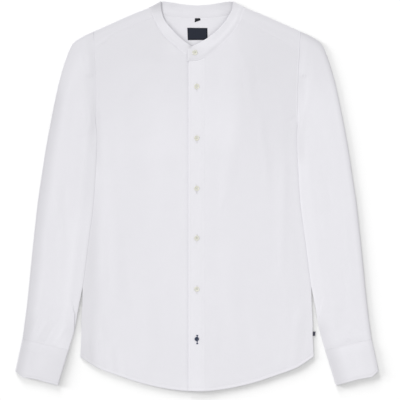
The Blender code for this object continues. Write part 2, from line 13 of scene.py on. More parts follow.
import bpy
import numpy as np
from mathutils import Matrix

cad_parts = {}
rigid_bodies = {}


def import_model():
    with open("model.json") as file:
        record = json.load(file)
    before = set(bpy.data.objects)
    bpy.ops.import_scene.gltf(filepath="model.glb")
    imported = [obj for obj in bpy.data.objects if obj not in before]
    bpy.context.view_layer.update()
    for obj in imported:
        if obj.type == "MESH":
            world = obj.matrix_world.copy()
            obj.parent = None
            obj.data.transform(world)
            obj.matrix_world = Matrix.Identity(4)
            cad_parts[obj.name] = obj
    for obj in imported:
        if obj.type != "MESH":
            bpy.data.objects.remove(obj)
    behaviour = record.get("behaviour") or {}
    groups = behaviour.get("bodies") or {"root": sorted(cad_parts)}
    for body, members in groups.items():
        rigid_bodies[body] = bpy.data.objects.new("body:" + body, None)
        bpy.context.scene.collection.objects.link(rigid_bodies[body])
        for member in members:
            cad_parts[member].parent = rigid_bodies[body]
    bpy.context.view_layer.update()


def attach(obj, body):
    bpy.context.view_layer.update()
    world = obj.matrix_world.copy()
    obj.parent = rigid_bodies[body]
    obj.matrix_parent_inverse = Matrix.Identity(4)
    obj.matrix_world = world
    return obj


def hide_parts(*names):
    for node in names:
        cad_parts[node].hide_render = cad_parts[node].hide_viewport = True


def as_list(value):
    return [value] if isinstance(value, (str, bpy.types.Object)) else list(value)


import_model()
MM = 0.001  # all tables are in millimetres
SIGN = {"left": 1, "right": -1}  # the wearer's left side lies at +X

# %% [markdown]
# ## Curves in the plane
#
# A shirt is cut from a few outlines. Each outline here is a short table of points that a
# Catmull-Rom curve runs through: it needs no handles, and it passes exactly through the points
# that a cutter would mark. Curves are kept as fine polylines, so that a place on one is found
# with plain interpolation over its length.


# %% Curves
def smooth(points, steps=12):
    """A fine polyline through the points: each stretch is a cubic whose slope at a point is
    half the step from the point before it to the point after it (Catmull-Rom)."""
    p = np.array(points, float)
    p = np.vstack([2 * p[0] - p[1], p, 2 * p[-1] - p[-2]])
    a, b, c, d = (p[i:len(p) - 3 + i, None] for i in range(4))
    t = (np.arange(steps) / steps)[None, :, None]
    line = 0.5 * (2 * b + (c - a) * t + (2 * a - 5 * b + 4 * c - d) * t ** 2
                  + (3 * b - a - 3 * c + d) * t ** 3)
    return np.vstack([line.reshape(-1, p.shape[1]), p[-2]])


def lengths(points):
    """Lengths along a line, or down each column of a grid, summed up from the start."""
    steps = np.linalg.norm(np.diff(points, axis=0), axis=-1)
    return np.concatenate([0 * steps[:1], np.cumsum(steps, axis=0)])


def at(line, t):
    """The points at the fractions t of a polyline's length, which is measured in x and y."""
    length = lengths(line[:, :2])
    return np.stack([np.interp(np.asarray(t) * length[-1], length, part) for part in line.T], -1)


def y_on(line, x):
    """The y of a line at x, where x grows along the line."""
    return np.interp(x, line[:, 0], line[:, 1])


def x_on(line, y):
    """The x of a line at y, where y grows along the line."""
    return np.interp(y, line[:, 1], line[:, 0])


def beyond_x(line, x):
    """The part of a line with larger x."""
    return np.vstack([(x, y_on(line, x)), line[line[:, 0] > x + 0.5]])


def below_y(line, y):
    """The part of a line with smaller y."""
    return np.vstack([line[line[:, 1] < y - 0.5], (x_on(line, y), y)])


def distance_to(line, x, y):
    """The distance from each place to the nearest point of a fine line."""
    away = np.full(x.shape, np.inf)
    for line_x, line_y in line:
        away = np.minimum(away, np.hypot(x - line_x, y - line_y))
    return away


def right_of(step):
    """The unit vector to the right of each step in the plane."""
    turned = np.stack([step[..., 1], -step[..., 0]], -1)
    return turned / np.linalg.norm(turned, axis=-1, keepdims=True)


print("a curve through 3 points:", smooth([(0, 0), (1, 1), (2, 0)]).shape)

# %% [markdown]
# ## Soft steps and bells
#
# Nothing on cloth starts or ends abruptly, so nearly every shape and shade below is a product
# of two simple curves over a length in millimetres: a step that eases from 0 to 1 between two
# places, and a bell round one place. With them a fold, a rolled edge or a shadow is one line.


# %% Soft steps and bells
def ease(value, start, end):
    """0 at the start, 1 at the end and 3 t^2 - 2 t^3 between them. The end may be lower."""
    t = np.clip((value - start) / (end - start), 0.0, 1.0)
    return t * t * (3 - 2 * t)


def bell(value, middle, width, power=2):
    """exp(-t^2) with t = (value - middle) / width. A power of 4 gives it a flat top."""
    return np.exp(-((value - middle) / width) ** power)


def mix(a, b, t):
    """a at t = 0 and b at t = 1."""
    return a + (b - a) * t


def close_at_ends(count, pull=0.85):
    """Numbers from 0 to 1 that lie closer together at both ends: t - pull sin(2 pi t) / 2 pi.
    Seams and hems lie at the ends, and they need the finest grid."""
    t = np.linspace(0, 1, count)
    return t - pull * np.sin(2 * np.pi * t) / (2 * np.pi)


print("ease at 1/4 of the way:", ease(0.25, 0, 1), "bell at its width:", round(bell(1, 0, 1), 3))

# %% [markdown]
# ## The cut of the shirt
#
# These are the outlines as the cutter would draw them: hem, side seam, armhole, shoulder and
# neck, for the wearer's left half. The right half is the mirror image, but for the yoke seam
# and the collar band, which lie a little differently on the two sides of a shirt that was
# smoothed out by hand.

# %% Outlines
SEAM = 0.3  # free space between two pieces that are sewn together
CLOTH, PLACKET_CLOTH, BAND_CLOTH = 1.0, 1.2, 1.4  # walls
PLACKET_LEFT, PLACKET_RIGHT = -17.0, 15.0
LAP_END = 14.5  # the right front runs on under the placket to here
BACK_YOKE_Y = 250.0
SLEEVE_FOLD_Y = 151.0  # where the sleeve's inner fold starts on the armhole

HEM = [(0, -389.7), (33, -388.2), (73, -382.2), (113, -372.8), (153, -359.8), (193, -345.4),
       (213, -334.4), (227, -324.8), (233, -320.8)]
SIDE_SEAM = [(233, -320.8), (232, -300), (231, -276), (231, -250), (229, -209), (229, -120),
             (231, -20), (235, 70), (239, 120)]
ARMHOLE = [(239, 120), (219, 125), (206, 137), (202, 155), (200.6, 195), (202.2, 250),
           (204.6, 290), (207, 329)]
SHOULDER = [(96, 376.6), (129, 363.6), (165, 347.6), (207, 329)]
BACK_NECK = [(0, 357), (30, 358), (60, 361.5), (84, 368.8), (96, 376.6)]
YOKE_SEAM = {
    "left": [(86.2, 351), (99, 346.5), (133, 325), (177, 303), (204.3, 285)],
    "right": [(87.4, 354), (109, 346), (129, 337), (169, 319), (204.7, 291)],
}
# Collar band, from the side of the neck to its end at the front. A row is one place along it:
# seam edge x and y, free top edge x and y, and how far the top edge stands up.
BAND = {
    "left": [
        (96, 376.6, 71.5, 389.7, 0.0), (90, 362, 70.0, 374.0, 0.3), (84, 345, 64.0, 361.0, 0.5),
        (72, 327, 54.0, 346.0, 0.5), (57, 310.5, 40.0, 331.0, 0.3), (40, 295, 24.0, 318.0, 0.1),
        (22, 281, 7.0, 307.5, 0.0), (5, 272.5, -4.0, 302.0, 0.0), (-9, 270.3, -11.0, 298.5, 0.0),
        (-19.5, 270, -18.8, 292.0, 0.0)],
    "right": [
        (96, 376.6, 72.0, 389.7, 0.0), (90, 362, 71.0, 373.0, 0.8), (84, 349, 67.0, 357.0, 1.2),
        (76, 334, 59.0, 343.5, 1.2), (62, 316, 47.0, 329.5, 1.0), (47, 302.5, 34.0, 316.5, 0.6),
        (31, 289.5, 21.0, 306.0, 0.2), (18, 281.5, 10.0, 299.5, 0.0), (5, 277.4, 2.0, 297.0, 0.0),
        (-8, 276.8, -8.0, 296.5, 0.0), (-17, 278.2, -15.5, 297.5, 0.0)],
}
BAND_BACK = [
    (96, 376.6, 71.7, 389.7, 0.0), (84, 368.8, 62.0, 388.6, 0.0), (60, 361.5, 47.0, 386.4, 0.0),
    (30, 358, 25.0, 383.0, 0.0), (0, 357, 0.0, 381.0, 0.0),
]
# Flattened sleeve, from the armhole to the cuff: outer fold x and y, inner fold x and y.
SLEEVE = [
    (207.3, 329, 200.8, SLEEVE_FOLD_Y), (229.5, 318.3, 200.5, 141), (249, 303.5, 200.2, 132),
    (263, 271, 200.0, 124), (275, 231, 200.0, 110), (284, 191, 200.2, 94),
    (292, 151, 201.0, 76), (303, 91, 203.0, 40), (311, 38, 205.5, 0), (318, -9, 210.0, -42),
    (324, -62, 216.0, -85), (329, -109, 221.0, -125), (334, -160, 228.0, -178),
    (339, -209, 237.0, -224), (344, -249, 245.0, -268), (349, -285, 256.0, -307),
]
CUFF = np.array([(349.1, -285.4, 256.1, -307.4), (363.2, -350, 277.5, -378)])
CUFF_EDGE_BOW = np.array([(0.0, 0.0), (0.16, 6.5), (0.5, 2.2), (0.75, 1.4), (1.0, 0.0)])

half_hem = smooth(HEM)
HEM_LINE = np.vstack([(half_hem * (-1, 1))[::-1][:-1], half_hem])
SIDE_LINE = smooth(SIDE_SEAM)
ARMHOLE_LINE = smooth(ARMHOLE) - (SEAM / 2, 0)
SHOULDER_LINE = smooth(SHOULDER)
print("hem:", len(HEM_LINE), "points, shoulder to shoulder:", 2 * SHOULDER[-1][0], "mm")

# %% [markdown]
# ## How high each layer lies
#
# Cloth that lies on a table is a stack. The back is at the bottom, the fronts lie on it with a
# little air, the placket laps over them, and the sleeves lie partly on the body and partly on
# the table. A function of x and y gives the height of each layer's upper face, so the shells
# lie exactly on the solids, and every later crease is a small height that is added to it.

# %% Layer heights
FRONT_LOW = CLOTH + SEAM + CLOTH  # the back's wall, the space, and the front's wall
PUFF = 0.7  # air under the fronts
FRONT_HIGH = FRONT_LOW + PUFF
PLACKET_TOP = FRONT_LOW + SEAM + PLACKET_CLOTH
LAP_STEP, LAP_RUN = 0.1, 34.0  # the left front meets the placket and comes down from it
SLEEVE_ON_BODY = FRONT_LOW + 0.35
SLEEVE_DEPTH, CUFF_DEPTH, BAND_DEPTH = 3.4, 4.3, 4.0  # flattened, lower to upper face
UNDER_LAP_TOP = CLOTH + 0.6 + BAND_CLOTH
OVER_LAP_TOP = UNDER_LAP_TOP + SEAM + BAND_CLOTH
FLAT_MARGIN = 25.0  # the fronts come down to the back over this width at their edges

# The fronts stay flat under the sleeves: y and the largest |x| that is free of them.
FREE_X = np.array([(-400, 234), (-216, 232), (-206, 226), (-169, 216), (-109, 209), (0, 197),
                   (90, 191), (150, 194), (178, 242), (400, 242)])
# A sleeve comes down from the body's edge between these distances from it: y, near, far.
SLEEVE_STEP = np.array([(-400, 5, 18), (-235, 6, 20), (-200, 16, 32), (400, 16, 32)])
# The main folds, as the solids have them: x0, y0, x1, y1, width, height.
FOLDS = [
    (92, 285, 120, 130, 9, 1.3), (124, 165, 143, 20, 9, 1.0), (176, 100, 168, -150, 10, 1.0),
    (72, 130, 52, -40, 13, 0.8), (60, -120, 84, -330, 16, 0.7), (205, -225, 190, -330, 11, 0.9),
    (-150, 255, -140, 60, 20, 0.9), (-62, 210, -72, -110, 22, 0.8),
    (-168, 20, -160, -220, 13, 0.9), (-198, -235, -176, -345, 10, 1.1),
    (-100, -160, -92, -350, 16, 0.6),
]


def crease_sum(creases, x, y, overrun=0.15, fade=0.4, wander=0.0):
    """Heights of long soft creases: each is a bell across its own line, times a soft step at
    both ends. With wander, the line sways like a slow sine."""
    height = np.zeros_like(x)
    for x0, y0, x1, y1, width, top in creases:
        along = np.array([x1 - x0, y1 - y0], float)
        length = np.linalg.norm(along)
        along /= length
        t = ((x - x0) * along[0] + (y - y0) * along[1]) / length
        across = (x - x0) * along[1] - (y - y0) * along[0]
        across = across + wander * width * np.sin(5.1 * t + 0.37 * x0)
        ends = ease(t, -overrun, fade - overrun) * ease(1 - t, -overrun, fade - overrun)
        height += top * ends * bell(across, 0, width)
    return height


def free_of_sleeves(x, y):
    """How far a place on the fronts is from the sleeve that lies on them."""
    return np.interp(y, *FREE_X.T) - np.abs(x)


def front_room(x, y):
    """From 0 at the edges of a front, where it must lie flat, to 1 where it has room."""
    room = ease(free_of_sleeves(x, y), 0, FLAT_MARGIN)
    room = room * ease(y - y_on(HEM_LINE, np.abs(x)), 0, FLAT_MARGIN)
    beside = ease(PLACKET_LEFT - 2 - x, 0, FLAT_MARGIN)
    return np.where(x < PLACKET_RIGHT, room * beside, room)


def front_top(x, y):
    """The height of the fronts' upper face."""
    room = front_room(x, y)
    height = FRONT_LOW + room * (PUFF + crease_sum(FOLDS, x, y))
    lap = (PLACKET_TOP - FRONT_LOW - LAP_STEP) - room * PUFF
    return height + (x > PLACKET_RIGHT) * lap * ease(x - PLACKET_RIGHT, LAP_RUN, 0)


LOW_ARMHOLE = below_y(ARMHOLE_LINE, SLEEVE_FOLD_Y)
BODY_EDGE = np.vstack([SIDE_LINE, LOW_ARMHOLE[1:]])


def sleeve_ground(x, y):
    """What a sleeve lies on: the body inside the side seam and armhole, else the table."""
    inside = (x <= x_on(SIDE_LINE, y)) & (y <= y_on(LOW_ARMHOLE[::-1], x))
    near, far = (np.interp(y, SLEEVE_STEP[:, 0], SLEEVE_STEP[:, k]) for k in (1, 2))
    slope = ease(distance_to(BODY_EDGE, x, y), far, near)
    return SLEEVE_ON_BODY * np.where(inside, 1, slope)


print("front lies at", FRONT_LOW, "mm, placket at", PLACKET_TOP, "mm")

# %% [markdown]
# ## Rumples and puckers
#
# Pressed cotton is never quite flat. Three things are added to the heights: listed creases,
# which are long and soft; a slow uneven rumple; and the small puckers that a seam makes where
# the thread draws the cloth together. The rumple is value noise: random heights at the corners
# of a grid, blended smoothly. Its seed is fixed, so every run is the same.


# %% Noise for cloth
def rumple(x, y, size, seed, turn=0.5):
    """Smooth random heights from -1 to 1. The plane is turned and cut into square cells of
    the given size; each corner has a random value, and a soft step blends the four."""
    table = np.random.default_rng(seed).uniform(-1, 1, (128, 128))
    gx = (x * np.cos(turn) - y * np.sin(turn)) / size + 64
    gy = (x * np.sin(turn) + y * np.cos(turn)) / size + 64
    i, j = np.floor(gx).astype(int), np.floor(gy).astype(int)
    low, high = (mix(table[i % 128, k % 128], table[(i + 1) % 128, k % 128], ease(gx - i, 0, 1))
                 for k in (j, j + 1))
    return mix(low, high, ease(gy - j, 0, 1))


def relief_noise(x, y, seed):
    """Three sizes of rumple on top of each other, the larger ones higher, in millimetres."""
    return (0.34 * rumple(x, y / 2.2, 46, seed, 0.15)
            + 0.13 * rumple(x, y / 1.6, 19, seed + 1, 0.3)
            + 0.02 * rumple(x, y, 7, seed + 2, 0.9))


def seam_relief(distance, along, stitch, seed, roll=0.35, groove=0.16, groove_width=0.75,
                fold=0.0, fold_width=0.0):
    """Heights beside a sewn edge: the edge rolls down, the stitch line is a shallow groove,
    puckers cross it, and a folded hem is a low step as wide as the fold."""
    pucker = rumple(along, along * 0, 6.5, seed, 0.0) * bell(distance, stitch, 3.2)
    return (0.13 * pucker - roll * ease(distance, 0.9, 0)
            - groove * bell(distance, stitch, groove_width)
            + fold * ease(distance, fold_width + 0.5, fold_width - 0.4))


HEM_STITCH = 5.6  # how far the hem's stitches lie in from its edge


def hem_relief(distance, along, seed):
    """The shirt's hem: a double fold of 7 mm with a deep groove along its stitches."""
    return seam_relief(distance, along, HEM_STITCH, seed, 0.35, 0.45, 1.7, 0.4, 6.6)


print("rumple at the origin:", round(float(rumple(np.zeros(1), np.zeros(1), 40, 3)[0]), 3))

# %% [markdown]
# ## From arrays to meshes
#
# Every shell is a grid of points: rows along one direction of the cloth and columns along the
# other. The whole grid is worked out as one numpy array, and the faces follow from the row and
# column numbers. The texture coordinates are the place on the flat cloth in metres, so that
# the weave has its true size and follows the grain. Solidify then gives the wall its
# thickness, on the inner side.

# %% Meshes
shells, surfaces, cuts = {}, {}, {}  # the pieces, their grids, and the area of their cut


def place_object(name, data):
    """A new object at the origin of the scene."""
    obj = bpy.data.objects.new(name, data)
    bpy.context.scene.collection.objects.link(obj)
    return obj


def cell_corners(values):
    """The values at the four corners of each cell of a grid."""
    return np.stack([values[:-1, :-1], values[:-1, 1:], values[1:, 1:], values[1:, :-1]], 2)


def grid_faces(rows, columns, first=0, closed=False):
    """Four corner numbers for each cell; a closed grid joins its last column to its first."""
    index = np.arange(rows * columns).reshape(rows, columns) + first
    if closed:
        index = np.column_stack([index, index[:, 0]])
    return cell_corners(index).reshape(-1, 4)


def make_mesh(name, points, faces):
    """A mesh object from points in millimetres and faces of corner numbers."""
    mesh = bpy.data.meshes.new(name)
    mesh.from_pydata((points.reshape(-1, 3) * MM).tolist(), [], faces.tolist())
    mesh.shade_smooth()
    mesh.update()
    return place_object(name, mesh)


def dress(obj, finish, node=None):
    """Gives a piece its material and its body, and hides the solid that it stands for."""
    obj.data.materials.append(finish)
    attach(obj, "root")
    if node:
        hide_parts(node)


def cut_area(points, closed):
    """The area of a grid: half the cross product of the diagonals of each cell, summed up."""
    if closed:
        points = np.concatenate([points, points[:, :1]], axis=1)
    a = points[1:, 1:] - points[:-1, :-1]
    b = points[1:, :-1] - points[:-1, 1:]
    return float(np.linalg.norm(np.cross(a, b), axis=-1).sum() / 2)


def make_shell(name, parts, wall, finish, closed=False):
    """A cloth shell from grids of points, grain and a colour factor, welded where they meet. The
    factor scales each point's base colour: mostly painted shade and light; on a ribbon, its
    border."""
    points, faces, grains, tones = [], [], [], []
    for place, grain, tint_and_painted_shade in parts:
        rows, columns = place.shape[:2]
        faces.append(grid_faces(rows, columns, sum(map(len, points)), closed))
        points.append(place.reshape(-1, 3))
        tones.append(np.broadcast_to(tint_and_painted_shade, (rows, columns)).ravel())
        grains.append(cell_corners(grain).reshape(-1, 2))
    obj = make_mesh(name, np.vstack(points), np.vstack(faces))
    grain_layer = obj.data.uv_layers.new(name="grain")
    grain_layer.data.foreach_set("uv", (np.vstack(grains) * MM).astype(np.float32).ravel())
    tone_layer = obj.data.attributes.new("tint_and_painted_shade", "FLOAT", "POINT")
    tone_layer.data.foreach_set("value", np.concatenate(tones).astype(np.float32))
    if len(parts) > 1:
        obj.modifiers.new("weld", "WELD").merge_threshold = 0.00002
    solidify = obj.modifiers.new("wall", "SOLIDIFY")
    solidify.thickness = wall * MM
    solidify.offset = -1
    node = name.split("_", 1)[1]
    dress(obj, finish, node)
    shells[name], surfaces[node] = obj, [part[0] for part in parts]
    cuts[name] = sum(cut_area(part[0], closed) for part in parts)
    print(name, "faces:", len(obj.data.polygons), "cut:", round(cuts[name] * 1e-6, 4), "m2")


def stack(*parts):
    """Two or three arrays as one of points."""
    return np.stack(np.broadcast_arrays(*parts), -1)


def for_side(side, points, grain, tint_and_painted_shade):
    """A grid as it is for the wearer's left, and its mirror image for the right. Its columns
    are turned round then, so that its faces still point up."""
    if side == "left":
        return points, grain, tint_and_painted_shade
    return points[:, ::-1] * (-1, 1, 1), grain[:, ::-1], tint_and_painted_shade[:, ::-1]


print("pieces so far:", len(shells))

# %% [markdown]
# ## Edges of a grid
#
# Seams, hems and rows of stitches all lie at some distance from an edge of their piece. So a
# grid can be turned until any one of its four edges comes first. Then one function measures
# the distance from that edge, another finds the line where the stitches run, and a third adds
# the seam allowance beyond it.


# %% Edges of a grid
def turned(grid, edge, back=False):
    """The grid with its rows counted from the edge bottom, top, left or right; or back."""
    swap = edge in ("left", "right")
    grid = grid.swapaxes(0, 1) if swap and not back else grid
    grid = grid[::-1] if edge in ("top", "right") else grid
    return grid.swapaxes(0, 1) if swap and back else grid


def from_edge(points, edge):
    """The distance of each grid point from one edge, summed up along its grid line."""
    return turned(lengths(turned(points[..., :2], edge)), edge, back=True)


def from_edges(points, *edges):
    """The distances from several edges, one array for each."""
    return (from_edge(points, edge) for edge in edges)


def inset(points, edge, distance):
    """The line on a grid at a distance from one of its edges. Lengths are summed up from the
    edge along each grid line, and the place is interpolated."""
    rows = turned(points, edge)
    length = lengths(rows)
    k = np.clip((length <= distance).sum(axis=0) - 1, 0, len(rows) - 2)
    columns = np.arange(rows.shape[1])
    step = length[k + 1, columns] - length[k, columns]
    share = (distance - length[k, columns]) / np.maximum(step, 1e-9)
    return mix(rows[k, columns], rows[k + 1, columns], share[:, None])


def tongue(points, edge, reach, drop):
    """The grid with one more row beyond an edge, which goes on outwards by reach and down by
    drop. It is the seam allowance: it closes the space to the next piece."""
    rows = turned(points, edge)
    ahead = rows[0, :, :2] - rows[1, :, :2]
    ahead = ahead / np.linalg.norm(ahead, axis=1, keepdims=True)
    reach, drop = (np.broadcast_to(value, len(ahead)) for value in (reach, drop))
    added = np.column_stack([rows[0, :, :2] + ahead * reach[:, None], rows[0, :, 2] - drop])
    return turned(np.concatenate([added[None], rows]), edge, back=True)


def plan_between(bottom, top, left, right, u, v):
    """The flat grid between four edges (a Coons patch): the surface ruled from bottom to top,
    plus the one ruled from left to right, minus the one through the four corners."""
    u, v = u[None, :, None], v[:, None, None]
    corners = mix(mix(bottom[:1], bottom[-1:], u), mix(top[:1], top[-1:], u), v)
    return mix(bottom[None], top[None], v) + mix(left[:, None], right[:, None], u) - corners


def edge_at(legs, t):
    """The points at the fractions t of an edge of (line, share) legs."""
    steps = t * sum(share for _line, share in legs)
    points, start = np.zeros((len(t), 2)), 0
    for line, share in legs:
        here = steps >= start - 1e-9
        points[here] = at(line, np.clip((steps[here] - start) / share, 0, 1))
        start += share
    return points


print("a square's middle line:", inset(stack(*np.meshgrid([0, 1, 2], [0, 1, 2]), 0), "left", 1)[0])

# %% [markdown]
# ## The finish: plain-woven cotton
#
# The weave could be an image that is wrapped round the shirt, but that has one sharpness only,
# and it shows seams. Here it is calculated, so it is as sharp as it needs to be anywhere. In a
# plain weave each thread goes over one crossing thread and under the next one. The sine of the
# place across the threads, times the sine of the place along them, changes its sign from one
# crossing to the next, so it says which thread is on top. Uneven threads (slubs) and a faint
# mottling keep the white from looking like paper.

# %% Shader helpers
SHADER = "Principled BSDF"


def connect(tree, node, sockets):
    """Each named socket gets a number or a vector, or a link from another node's output."""
    for key, value in sockets.items():
        if isinstance(value, bpy.types.NodeSocket):
            tree.links.new(value, node.inputs[key])
        else:
            node.inputs[key].default_value = value


def add_node(tree, kind, sockets, **settings):
    """A shader node with its settings, its sockets filled."""
    made = tree.nodes.new("ShaderNode" + kind)
    for key, value in settings.items():
        setattr(made, key, value)
    connect(tree, made, sockets)
    return made


def calculate(tree, operation, *values):
    """A Math node; each value is a number or another node's output."""
    return add_node(tree, "Math", dict(enumerate(values)), operation=operation).outputs[0]


def noise(tree, place, scale, stretch=(1, 1, 1), detail=2.0):
    """Noise on a place that is first stretched; it returns a value around 0.5."""
    mapped = add_node(tree, "Mapping", {"Scale": stretch, "Vector": place}).outputs[0]
    sockets = {"Scale": scale, "Detail": detail, "Vector": mapped}
    return add_node(tree, "TexNoise", sockets).outputs["Fac"]


def vary(tree, value, amount, middle=0.5):
    """A factor that is 1 where the value has its middle and changes by amount times it."""
    return calculate(tree, "MULTIPLY_ADD", value, amount, 1 - amount * middle)


def start_material(name, sockets):
    """A material and its node tree; the sockets are those of its Principled shader."""
    material = bpy.data.materials.new(name)
    material.use_nodes = True
    connect(material.node_tree, material.node_tree.nodes[SHADER], sockets)
    return material, material.node_tree


def tint(tree, colour, *factors):
    """Base colour times the product of the factors."""
    scaled = add_node(tree, "VectorMath", {0: colour}, operation="SCALE")
    product = factors[0]
    for factor in factors[1:]:
        product = calculate(tree, "MULTIPLY", product, factor)
    connect(tree, scaled, {"Scale": product})
    connect(tree, tree.nodes[SHADER], {"Base Color": scaled.outputs[0]})


def bump(tree, height, distance, strength=1.0):
    """Tilts the surface as if it had this height, which counts in metres times distance."""
    sockets = {"Strength": strength, "Distance": distance, "Height": height}
    connect(tree, tree.nodes[SHADER], {"Normal": add_node(tree, "Bump", sockets).outputs[0]})


def grain_and_tone(tree):
    """The place on the flat cloth, and each point's colour factor, mostly painted shade and light.
    """
    return (add_node(tree, "UVMap", {}, uv_map="grain").outputs[0],
            add_node(tree, "Attribute", {}, attribute_name="tint_and_painted_shade").outputs["Fac"])


def weave_height(tree, place, pitch):
    """Plain weave: warp threads are |sin| of the place across them, weft threads |sin| of
    the place along, and the product of both sines chooses which one is on top."""
    split = add_node(tree, "SeparateXYZ", {0: place})
    across, along = (calculate(tree, "SINE", calculate(tree, "MULTIPLY", part, np.pi / pitch))
                     for part in split.outputs[:2])
    warp, weft = (calculate(tree, "ABSOLUTE", wave) for wave in (across, along))
    over = calculate(tree, "MULTIPLY_ADD", calculate(tree, "MULTIPLY", across, along), 0.5, 0.5)
    return calculate(tree, "MULTIPLY_ADD", calculate(tree, "SUBTRACT", warp, weft), over, weft)


print("shader helpers ready")

# %% Cotton
COTTON = (0.762, 0.755, 0.792)
THREAD_PITCH = 0.0004  # metres from one thread to the next


def make_cotton():
    """Matt cotton: slubs run both ways and are products of two stretched noises, patches vary
    the white, and the bump is the weave with a fine crumple."""
    cotton, tree = start_material("white_cotton", {
        "Roughness": 0.88, "Sheen Weight": 0.06, "Sheen Roughness": 0.6,
        "Specular IOR Level": 0.25})
    grain, tint_and_painted_shade = grain_and_tone(tree)
    warp_slubs, weft_slubs = (noise(tree, grain, 60, way) for way in ((38, 1, 1), (1, 38, 1)))
    slubs = calculate(tree, "MULTIPLY", warp_slubs, weft_slubs)
    patches = noise(tree, grain, 22)
    # The base colour is scaled by each point's colour factor: painted shade and painted light.
    tint(tree, COTTON, tint_and_painted_shade, vary(tree, slubs, 0.05, 0.25), vary(tree, patches, 0.02))
    threads = calculate(tree, "MULTIPLY", weave_height(tree, grain, THREAD_PITCH),
                        calculate(tree, "ADD", slubs, 0.6))
    crumple = noise(tree, grain, 150, detail=3.0)
    bump(tree, calculate(tree, "MULTIPLY_ADD", crumple, 1.2, threads), 0.00006)
    return cotton


white_cotton = make_cotton()
print("cotton nodes:", len(white_cotton.node_tree.nodes))

# %% [markdown]
# ## Back panel
#
# The back is the lowest layer. It is one panel from the hem up to the yoke, and it is hidden
# but for its edges, so it gets a coarser grid than the fronts. The cut is a grid between four
# edges. Its lower face is nearly flat, because the table pressed it.

# %% Back
THIN = 0.5  # wall of one layer in the dressed model
ARMPIT_TOP_Y = 172  # the armhole is straight above this


def armhole_legs(armhole):
    """The armhole in two legs, so that rows are closer round the armpit."""
    low = below_y(armhole, ARMPIT_TOP_Y)
    return [(low, 5), (np.vstack([low[-1:], armhole[armhole[:, 1] > ARMPIT_TOP_Y]]), 4)]


def make_back():
    """One flat panel, a wall's thickness above the table, with a low uneven rise."""
    armhole = below_y(ARMHOLE_LINE, BACK_YOKE_Y - SEAM / 2)
    u, v = close_at_ends(71), close_at_ends(141)
    side = edge_at([(SIDE_LINE, 14), *armhole_legs(armhole)], v)
    top = armhole[-1] * np.array([(-1, 1), (1, 1)])
    plan = plan_between(at(HEM_LINE, u), at(top, u), side * (-1, 1), side, u, v)
    x, y = plan[..., 0], plan[..., 1]
    z = THIN + 0.18 + 0.16 * rumple(x, y / 2, 40, 11)
    make_shell("cloth_back", [(stack(x, y, z), plan, 1.0)], THIN, white_cotton)


make_back()

# %% [markdown]
# ## Front panels
#
# The fronts are what one sees first. Their folds are listed one by one: a ridge from the
# shoulder down the chest, long verticals where the shirt was pulled straight, and short
# ripples where the hem turns up to the side seam. Each is much longer than it is wide and
# rises only a millimetre or so, because pressed cotton bends softly. The side edge rolls down
# to the back, where the side seam joins them, and the hem is a narrow double fold.

# %% Creases of the fronts
# Creases: x0, y0, x1, y1, width, height. A negative height is a trough.
CHEST_CREASES = [
    (93, 278, 104, 200, 6, 0.30), (92, 285, 120, 130, 9, -0.85), (114, 275, 120, 218, 5, -0.30),
    (126, 160, 128, 106, 5, 0.22), (141, 75, 139, 24, 5, 0.22), (77, 105, 75, 46, 5, 0.22),
    (168, 75, 166, 20, 5, -0.25), (163, -76, 161, -140, 6, -0.25), (50, 3, 50, -22, 4, 0.2),
    (52, -22, 53, -42, 4, -0.22), (58, 250, 44, 120, 9, 0.18), (150, 262, 176, 150, 8, 0.3),
    (182, -180, 176, -300, 8, 0.3), (110, -170, 120, -340, 10, 0.25),
    (40, -230, 36, -370, 7, 0.2), (-52, 236, -120, 120, 9, 0.22), (-96, 262, -150, 190, 8, 0.25),
    (-182, 140, -174, 60, 7, 0.2), (-120, 20, -112, -90, 9, 0.2), (-60, -150, -54, -300, 9, 0.2),
    (-190, -60, -186, -190, 7, 0.25), (-30, 150, -34, 30, 6, 0.12),
    (-140, -120, -128, -270, 8, -0.2),
]
HEM_RIPPLES = [
    (-200, -280, -190, -342, 4, 0.55), (-186, -285, -178, -350, 4, -0.4),
    (-172, -295, -168, -356, 4, 0.45), (-160, -300, -155, -362, 4, -0.3),
    (-146, -310, -142, -366, 5, 0.28), (-212, -276, -206, -334, 4, -0.35),
    (204, -285, 196, -340, 5, 0.3), (188, -292, 182, -346, 5, -0.22),
    (170, -300, 166, -354, 6, 0.2), (218, -270, 212, -328, 4, -0.2),
]
UNDER_SLEEVE_DROP = 0.7  # the sleeves press the fronts down
HEM_LIFT = 0.8  # the hem stands off the back
INNER_FOLD = np.array(SLEEVE)[::-1, 2:]
FOLD_GROOVE = {"left": 0.5, "right": 0.0}  # the left front dips beside the sleeve


def past_fold(x, y):
    """How far a place lies beyond the inner fold of a sleeve."""
    return np.abs(x) - x_on(INNER_FOLD, y)


def beside_fold(x, y):
    """A bell, 3 mm wide, that runs beside the inner fold of a sleeve."""
    return bell(past_fold(x, y), 0, 3) * ease(y, SLEEVE_FOLD_Y, SLEEVE_FOLD_Y - 12)


print("creases:", len(FOLDS) + len(CHEST_CREASES), "ripples at the hem:", len(HEM_RIPPLES))


# %% Cut and relief of the fronts
def neck_line(side):
    """The seam between a front and the collar band, from the middle to the shoulder."""
    return smooth(np.array(BAND[side])[::-1, :2])


def front_plan(side):
    """The grid of a front in the x of its own side, as the cutter would draw it."""
    centre = {"left": PLACKET_RIGHT + SEAM, "right": -LAP_END}[side]
    yoke_seam = smooth(YOKE_SEAM[side]) - (0, SEAM / 2)
    neck, hem = beyond_x(neck_line(side), centre), beyond_x(HEM_LINE, centre)
    neck = np.vstack([neck[neck[:, 1] < yoke_seam[0][1] - 1] + (0.15, -0.35), yoke_seam[:1]])
    side_legs = [(SIDE_LINE, 17), *armhole_legs(below_y(ARMHOLE_LINE, yoke_seam[-1][1]))]
    u, v = close_at_ends(131), close_at_ends(251)
    return plan_between(at(hem, u), edge_at([(neck, 10), (yoke_seam, 5)], u),
                        at(np.array([hem[0], neck[0]]), v), edge_at(side_legs, v), u, v)


